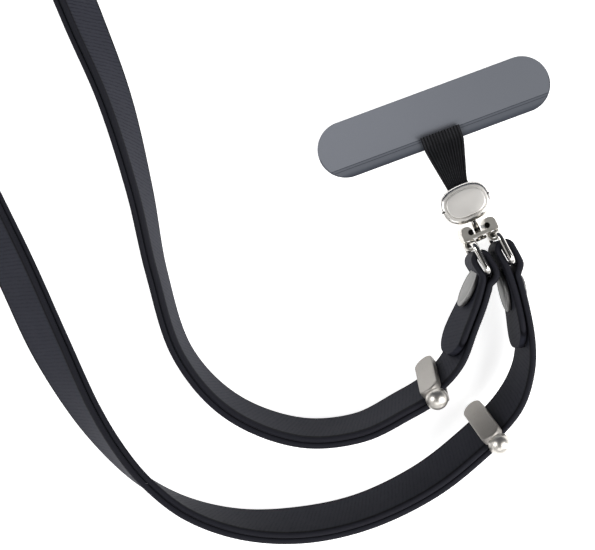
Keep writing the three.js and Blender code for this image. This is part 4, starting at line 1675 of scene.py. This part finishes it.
@dataclass
class WireRing:
    """A rectangular ring of round wire."""

    swivel: SwivelFrame
    end: End
    node: str
    wire: float = 0.74
    sides: int = 24
    corner_steps: int = 10

    def build(self, metal: Material) -> Object:
        """Bend and dress the ring.

        Args:
            metal: Its metal.

        Returns:
            The finished ring.
        """
        height = SIZES.strap_width + 2 * SIZES.ring_play + 2 * SIZES.wire_radius
        plan = rounded_box(SIZES.ring_depth, height, SIZES.ring_corner, self.corner_steps)
        ahead = unit(np.roll(plan, -1, 0) - np.roll(plan, 1, 0))
        outward = np.stack([ahead[:, 1], -ahead[:, 0]], 1)
        angle = np.arange(self.sides) / self.sides * 2 * math.pi
        rings = []
        for spot, out in zip(plan, outward):
            reach = self.wire * np.cos(angle)
            rings.append(np.column_stack([
                SIZES.ring_depth / 2 + spot[0] + out[0] * reach,
                spot[1] + out[1] * reach,
                self.wire * np.sin(angle),
            ]))
        swivel = self.swivel
        frame = placement(swivel.ring_bar(self.end), swivel.ring_forward, swivel.ring_up, -swivel.ring_side)
        obj = Solid().add(loft(rings, cyclic=True)).build(f"{self.node}_wire", frame, metal, sharp=80.0)
        return settle(obj, "strap", "polished_metal", self.node)


@dataclass
class SwivelPlate:
    """The upright plate with two shoulders, and the knuckles that the rings turn in."""

    swivel: SwivelFrame
    width: float = 8.7
    depth: float = 3.3
    wall: float = 0.9
    height: float = 13.0
    notch: float = 2.9
    corner: float = 1.4
    knuckle_height: float = 6.0
    bevel: float = 0.16

    def build(self, metal: Material) -> Object:
        """Form and dress the plate.

        Args:
            metal: Its metal.

        Returns:
            The finished plate.
        """
        front, half = self.depth - self.wall, self.width / 2
        outline = [(-half, -self.wall), (half, -self.wall)]
        lobe = [(half - self.corner, 0.0), (self.notch / 2 + self.corner, math.pi / 2)]
        right = [
            (x + self.corner * math.cos(a), front - self.corner + self.corner * math.sin(a))
            for x, begin in lobe for a in np.linspace(begin, begin + math.pi / 2, 10)
        ]
        outline += right + [(self.notch / 2, 0.0)]
        outline += [(-x, y) for x, y in reversed(right + [(self.notch / 2, 0.0)])]
        plan = np.array(outline)
        levels = [np.column_stack([plan, np.full(len(plan), z)]) for z in (-self.height / 2, self.height / 2)]
        solid = Solid().add(loft(levels))
        to_local = self.swivel.matrix.inverted()
        radius = SIZES.knuckle_bore + SIZES.knuckle_wall
        for end in End:
            bar = to_local @ self.swivel.ring_bar(end)
            rise = self.knuckle_height / 2
            profile = (
                (radius, -rise), (radius, rise), (SIZES.knuckle_bore, rise), (SIZES.knuckle_bore, -rise),
            )
            shell = loft([circle(r, z, 40) for r, z in profile], cyclic=True)
            solid.add(shell, Matrix.Translation((bar.x, bar.y, 0.0)))
        obj = solid.build("swivel_plate_body", self.swivel.matrix, metal, sharp=35.0, bevel=self.bevel)
        return settle(obj, "strap", "satin_metal", "swivel_plate")


@dataclass
class SwivelPin:
    """The headed pin between plate and clasp."""

    swivel: SwivelFrame
    radius: float = 0.72
    head_radius: float = 1.35
    head: float = 0.7
    wall: float = 0.9
    reach: float = 7.4 - 4.5 + 2.2

    def build(self, metal: Material) -> Object:
        """Turn and dress the pin.

        Args:
            metal: Its metal.

        Returns:
            The finished pin.
        """
        back = -self.wall - SIZES.clearance - self.head
        profile = [
            (0.2, back), (self.head_radius - 0.15, back), (self.head_radius, back + 0.15),
            (self.head_radius, back + self.head - 0.1), (self.head_radius - 0.1, back + self.head),
            (self.radius, back + self.head), (self.radius, self.reach - 0.1),
            (self.radius - 0.1, self.reach), (0.2, self.reach),
        ]
        turn = Matrix(((1, 0, 0, 0), (0, 0, 1, 0), (0, -1, 0, 0), (0, 0, 0, 1)))
        solid = Solid().add(loft([circle(r, z, 32) for r, z in profile]), turn)
        obj = solid.build("swivel_pin_shaft", self.swivel.matrix, metal, sharp=40.0)
        return settle(obj, "tether", "polished_metal", "swivel_pin")


@dataclass
class OvalClasp:
    """The oval clasp: a rolled polished rim round a raised matte face on both sides."""

    swivel: SwivelFrame
    distance: float = 7.4
    length: float = 11.9
    breadth: float = 9.0
    thickness: float = 4.4
    rim: float = 1.15
    rise: float = 0.35
    squareness: float = 2.5
    roll: float = 1.1
    matte_below: float = 0.1

    def profile(self) -> list[tuple[float, float]]:
        """Inset from the outline and height, from the middle of the lower face to the upper one.

        Returns:
            The profile's points.
        """
        half = self.thickness / 2
        corner = [
            (self.roll * (1 - math.cos(a)), half - self.roll + self.roll * math.sin(a))
            for a in np.linspace(0, math.pi / 2, 9)
        ]
        top = [
            *corner, (self.rim + 0.02, half), (self.rim + 0.06, half - 0.06), (self.rim + 0.11, half - 0.06),
            (self.rim + 0.17, half + 0.08), (self.rim + 0.26, half + self.rise - 0.1),
            (self.rim + 0.38, half + self.rise - 0.02), (self.rim + 0.55, half + self.rise),
            (3.3, half + self.rise), (4.3, half + self.rise),
        ]
        return [(inset, -z) for inset, z in reversed(top)] + top

    def build(self, metal: Material, face_metal: Material) -> Object:
        """Form and dress the clasp.

        Args:
            metal: The rim's metal.
            face_metal: The raised faces' metal.

        Returns:
            The finished clasp.
        """
        rings = [
            superellipse(self.length - 2 * i, self.breadth - 2 * i, z, self.squareness)
            for i, z in self.profile()
        ]
        frame = self.swivel.matrix @ Matrix.Translation((0.0, self.distance, 0.0))
        obj = Solid().add(loft(rings)).build("oval_clasp_body", frame, metal, face_metal, sharp=50.0)
        raised = (self.thickness / 2 - self.matte_below) * MM
        dress_some(obj, lambda spot: abs(spot.z) > raised)
        return settle(obj, "tether", "polished_metal", "oval_clasp")


# Tether


@dataclass
class TetherTab:
    """The thin lozenge tab that lies in a phone case."""

    swivel: SwivelFrame
    length: float = 57.5
    width: float = 13.3
    thickness: float = 0.6
    distance: float = 28.9
    shift: float = 2.1
    yaw: float = math.radians(3.7)
    bevel: float = 0.12

    @property
    def matrix(self) -> Matrix:
        """The tab's frame: x along it, y away from the clasp."""
        turn = Matrix.Rotation(-self.yaw, 3, UP)
        origin = self.swivel.centre - self.swivel.forward * self.distance + self.swivel.side * self.shift
        origin.z = 0.0
        return placement(origin, turn @ self.swivel.side, turn @ -self.swivel.forward, UP)

    def build(self, sheet_finish: Material) -> Object:
        """Cut and dress the tab.

        Args:
            sheet_finish: Its finish.

        Returns:
            The finished tab.
        """
        levels = [
            (self.bevel, 0.0), (0.0, self.bevel), (0.0, self.thickness - self.bevel),
            (self.bevel, self.thickness),
        ]
        shells = []
        for inset, z in levels:
            outline = pill(self.width - 2 * inset, self.length - 2 * inset, z, 40)
            shells.append(np.column_stack([outline[:, 1], -outline[:, 0], outline[:, 2]]))
        obj = Solid().add(loft(shells)).build("tether_patch_sheet", self.matrix, sheet_finish, sharp=30.0)
        return settle(obj, "tether", "tab", "tether_patch")


def rib_tree() -> Tree:
    """Build the tree that lays a ribbon's ribs side by side along its middle line.

    The line's vertices carry the attributes across, up, wide and arc.

    Returns:
        The Geometry Nodes tree.
    """
    rows = [
        ("Geometry", "NodeSocketGeometry", None),
        ("Rib Count", "NodeSocketInt", 13),
        ("Thickness", FLOAT, 0.0009),
        ("Fill", FLOAT, 1.12),
        ("Webbing", "NodeSocketMaterial", None),
    ]
    sheet, given, result = group_tree(
        "ribbon_ribs", "GeometryNodeTree", rows, [("Geometry", "NodeSocketGeometry")],
    )
    position, count = sheet.add("GeometryNodeInputPosition").outputs[0], given.outputs["Rib Count"]
    line = sheet.store(given.outputs["Geometry"], "line_place", position)
    curve = sheet.call("GeometryNodeMeshToCurve", {"Mesh": line}).outputs[0]
    copies = sheet.call(
        "GeometryNodeDuplicateElements", {"Geometry": curve, "Amount": count}, domain="SPLINE",
    )
    share = sheet.math("DIVIDE", sheet.plus(copies.outputs["Duplicate Index"], 0.5), count)
    marked = sheet.store(copies.outputs[0], "rib_share", sheet.minus(share, 0.5), "FLOAT")
    ring = sheet.call("GeometryNodeCurvePrimitiveCircle", {"Resolution": 10, "Radius": 1.0})
    section = sheet.store(ring.outputs[0], "section_place", position)
    swept = sheet.call(
        "GeometryNodeCurveToMesh", {"Curve": marked, "Profile Curve": section, "Fill Caps": True},
    )
    parts, wide = sheet.split(sheet.named("section_place")), sheet.named("wide", "FLOAT")
    beam = sheet.times(sheet.times(sheet.math("DIVIDE", wide, count), given.outputs["Fill"]), 0.5)
    offset = sheet.plus(sheet.times(wide, sheet.named("rib_share", "FLOAT")), sheet.times(parts[0], beam))
    rise = sheet.times(parts[1], sheet.times(given.outputs["Thickness"], 0.5))
    placed = place_sweep(sheet, swept, offset, rise)
    kept = sheet.store(placed, "ribbon_place", sheet.join(sheet.named("arc", "FLOAT"), offset, rise))
    return close_sweep(sheet, result, kept, given.outputs["Webbing"], "rib_share", "wide")


@dataclass
class TetherRibbon:
    """The ribbed ribbon from the clasp's mouth down to the tab."""

    swivel: SwivelFrame
    tab: TetherTab
    clasp: OvalClasp
    thickness: float = 0.9
    neck: float = 5.2
    foot: float = 9.6
    seat: float = 1.6
    lap: float = 3.0
    steps: int = 60

    def line(self) -> np.ndarray:
        """Points of the ribbon's middle line.

        Returns:
            The points, evenly spaced.
        """
        from_plate = self.clasp.distance + self.clasp.breadth / 2 - self.seat
        matrix = self.swivel.matrix
        neck = matrix @ Vector((0.0, from_plate, 0.0))
        mouth = matrix @ Vector((0.0, from_plate + self.seat + SIZES.clearance, 0.0))
        rest = self.tab.thickness + SIZES.clearance + self.thickness / 2
        edge = self.tab.matrix @ Vector((0.0, -self.tab.width / 2, rest))
        foot = self.tab.matrix @ Vector((0.0, -self.tab.width / 2 + self.lap, rest))
        middle = mouth.lerp(edge, 0.5)
        middle.z = mouth.z + (edge.z - mouth.z) * 0.52
        curve = SmoothCurve(np.array([list(v) for v in (neck, mouth, middle, edge, foot)]))
        self.mouth_share = (mouth - neck).length / curve.length
        return curve.at(curve.shares(np.linspace(0, curve.length, self.steps + 1)))

    def build(self, tree: Tree, webbing: Material) -> Object:
        """Weave and dress the ribbon.

        Args:
            tree: The ribs' tree.
            webbing: Its finish.

        Returns:
            The finished ribbon.
        """
        points = self.line()
        share = np.linspace(0, 1, len(points))
        ahead = unit(np.gradient(points, axis=0))
        across = np.array([list(Matrix.Rotation(-self.tab.yaw * s, 3, UP) @ self.swivel.side) for s in share])
        widen = np.clip((share - self.mouth_share) / (0.8 - self.mouth_share), 0, 1)
        wide = self.neck + (self.foot - self.neck) * widen
        inputs = {"Thickness": self.thickness * MM, "Webbing": webbing}
        values = {"across": across, "up": unit(np.cross(across, ahead)), "wide": wide}
        obj = sweep_line("tether_ribbon_webbing", "tether_ribbon_line", points, values, tree, inputs)
        return settle(obj, "tether", "ribbon", "tether_ribbon")


# Studio


# Each lamp's name, place and size in metres, and power in watts
LAMPS = (
    ("key", (0.95, -0.3, 0.8), (0.7, 0.9), 15.5),
    ("fill", (-0.95, -0.1, 0.85), (0.6, 0.7), 6.5),
    ("back", (0.1, -1.1, 0.9), (1.2, 0.5), 4.0),
)


@dataclass
class Studio:
    """Pale floor, soft light and the camera straight above."""

    swivel: SwivelFrame
    camera_height: float = 600.0
    lens: float = 154.3
    from_plate: tuple = (-41.9, -9.9)
    room: float = 0.50
    dark_from: float = 0.74
    dark_to: float = 0.84
    wall_tone: tuple = (1.0, 1.0, 1.0, 1.0)
    far_tone: tuple = (0.10, 0.11, 0.14, 1.0)
    far_from: float = -0.25
    far_to: float = 0.5
    ceiling_tone: tuple = (0.06, 0.06, 0.06, 1.0)
    aim: tuple = (0.03, -0.05, 0.0)
    floor_half: float = 4.0

    def camera(self) -> None:
        """Hang the camera over the strap."""
        data = bpy.data.cameras.new("camera")
        data.sensor_width = 36.0
        data.lens = self.lens
        data.clip_start, data.clip_end = 0.01, 20.0
        obj = new_object("camera", data)
        obj.location = (
            (self.swivel.centre.x + self.from_plate[0]) * MM,
            (self.swivel.centre.y + self.from_plate[1]) * MM,
            self.camera_height * MM,
        )
        bpy.context.scene.camera = obj

    def softbox(self, name: str, at: tuple, size: tuple, power: float) -> None:
        """Hang a softbox that points at the strap.

        Args:
            name: Its name.
            at: Its place, in metres.
            size: Its width and height, in metres.
            power: Its power, in watts.
        """
        data = bpy.data.lights.new(name, "AREA")
        data.shape = "RECTANGLE"
        data.size, data.size_y = size
        data.energy = power
        obj = new_object(name, data)
        obj.location = at
        aim = Vector(self.aim) - Vector(at)
        obj.rotation_mode = "QUATERNION"
        obj.rotation_quaternion = aim.to_track_quat("-Z", "Y")

    def light(self) -> None:
        """Set up the room, darker overhead where the camera hangs, and the softboxes."""
        world = bpy.data.worlds.new("studio")
        bpy.context.scene.world = world
        world.use_nodes = True
        sheet = NodeSheet(world.node_tree)
        background = world.node_tree.nodes["Background"]
        parts = sheet.split(sheet.call("ShaderNodeTexCoord").outputs["Generated"])
        overhead = sheet.ramp(parts[2], self.dark_from, self.dark_to)
        beyond = sheet.ramp(parts[1], self.far_from, self.far_to)
        walls = sheet.blend(beyond, self.wall_tone, self.far_tone)
        sheet.feed(background.inputs["Color"], sheet.blend(overhead, walls, self.ceiling_tone))
        background.inputs["Strength"].default_value = self.room
        for lamp in LAMPS:
            self.softbox(*lamp)

    def floor(self, finish: Material) -> None:
        """Lay the floor.

        Args:
            finish: The floor's finish.
        """
        mesh = bpy.data.meshes.new("floor")
        half = self.floor_half
        mesh.from_pydata(
            [(-half, -half, 0), (half, -half, 0), (half, half, 0), (-half, half, 0)], [], [(0, 1, 2, 3)],
        )
        obj = new_object("floor", mesh)
        dress(obj, finish)


class Plating(Enum):
    """Tint, shade and roughness of each plating."""

    DISC = ((0.290, 0.288, 0.282, 1.0), (0.262, 0.260, 0.255, 1.0), 0.5)
    POLISHED = ((0.74, 0.72, 0.69, 1.0), (0.68, 0.66, 0.63, 1.0), 0.10)
    BALL = ((0.72, 0.69, 0.64, 1.0), (0.66, 0.63, 0.585, 1.0), 0.36)
    CLASP_FACE = ((0.76, 0.74, 0.71, 1.0), (0.72, 0.70, 0.67, 1.0), 0.5)
    CLASP_RIM = ((0.80, 0.78, 0.75, 1.0), (0.74, 0.72, 0.69, 1.0), 0.24)
    PLATE = ((0.80, 0.77, 0.71, 1.0), (0.68, 0.65, 0.59, 1.0), 0.34)


def main() -> None:
    """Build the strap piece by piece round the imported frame."""
    logging.basicConfig(level=logging.INFO, format="%(name)s %(message)s")
    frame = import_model()
    pivot = frame["joints"][0]["pos_m"]
    swivel = SwivelFrame(Vector(pivot) / MM)
    route = Route(swivel)
    LOG.info("loop length %.1f mm", route.length)
    bpy.context.scene.view_settings.view_transform = "Standard"
    kit = ShaderKit()
    studio = Studio(swivel)
    studio.camera()
    studio.light()
    studio.floor(FloorFinish(kit).material("pale_floor"))

    leather = LeatherFinish(kit).material("pressed_leather")
    satin = MetalFinish(kit, Polish.SATIN).material("satin_plating")
    disc_metal = MetalFinish(kit, Polish.SATIN, *Plating.DISC.value).material("disc_plating")
    mirror = MetalFinish(kit, Polish.MIRROR, *Plating.POLISHED.value).material("polished_plating")
    ball_metal = MetalFinish(kit, Polish.MIRROR, *Plating.BALL.value).material("ball_plating")
    face_metal = MetalFinish(kit, Polish.SATIN, *Plating.CLASP_FACE.value).material("clasp_face_plating")
    rim_metal = RimFinish(kit, Polish.MIRROR, *Plating.CLASP_RIM.value).material("clasp_rim_plating")
    plate_metal = PlateFinish(kit, Polish.MIRROR, *Plating.PLATE.value).material("plate_plating")
    sweep = band_tree()
    first = LeatherBand(
        route, End.FIRST, "strap_band_a", flap_length=25.5, stud_station=9.0, far_station=45.5,
    )
    second = LeatherBand(
        route, End.SECOND, "strap_band_b", flap_length=24.0, stud_station=9.6, far_station=33.1,
    )
    for band in (first, second):
        band.build(sweep, leather)
    DiscStud(route, End.FIRST, "stud_a", first.stud_station).build(disc_metal)
    DiscStud(route, End.SECOND, "stud_b", second.stud_station).build(disc_metal)
    slider_a = BallSlider(route, End.FIRST, "slider_a", station=second.far_station, turn=math.radians(11.0))
    slider_b = BallSlider(route, End.SECOND, "slider_b", station=first.far_station, turn=math.radians(4.5))
    for slider in (slider_a, slider_b):
        slider.build(satin, ball_metal)
    WireRing(swivel, End.FIRST, "ring_a").build(mirror)
    WireRing(swivel, End.SECOND, "ring_b").build(mirror)
    SwivelPlate(swivel).build(plate_metal)
    SwivelPin(swivel).build(mirror)
    clasp = OvalClasp(swivel)
    clasp.build(rim_metal, face_metal)
    tab = TetherTab(swivel)
    tab.build(TabFinish(kit).material("tab_sheet"))
    TetherRibbon(swivel, tab, clasp).build(rib_tree(), RibbonFinish(kit).material("ribbed_webbing"))


if __name__ == "__main__":
    main()
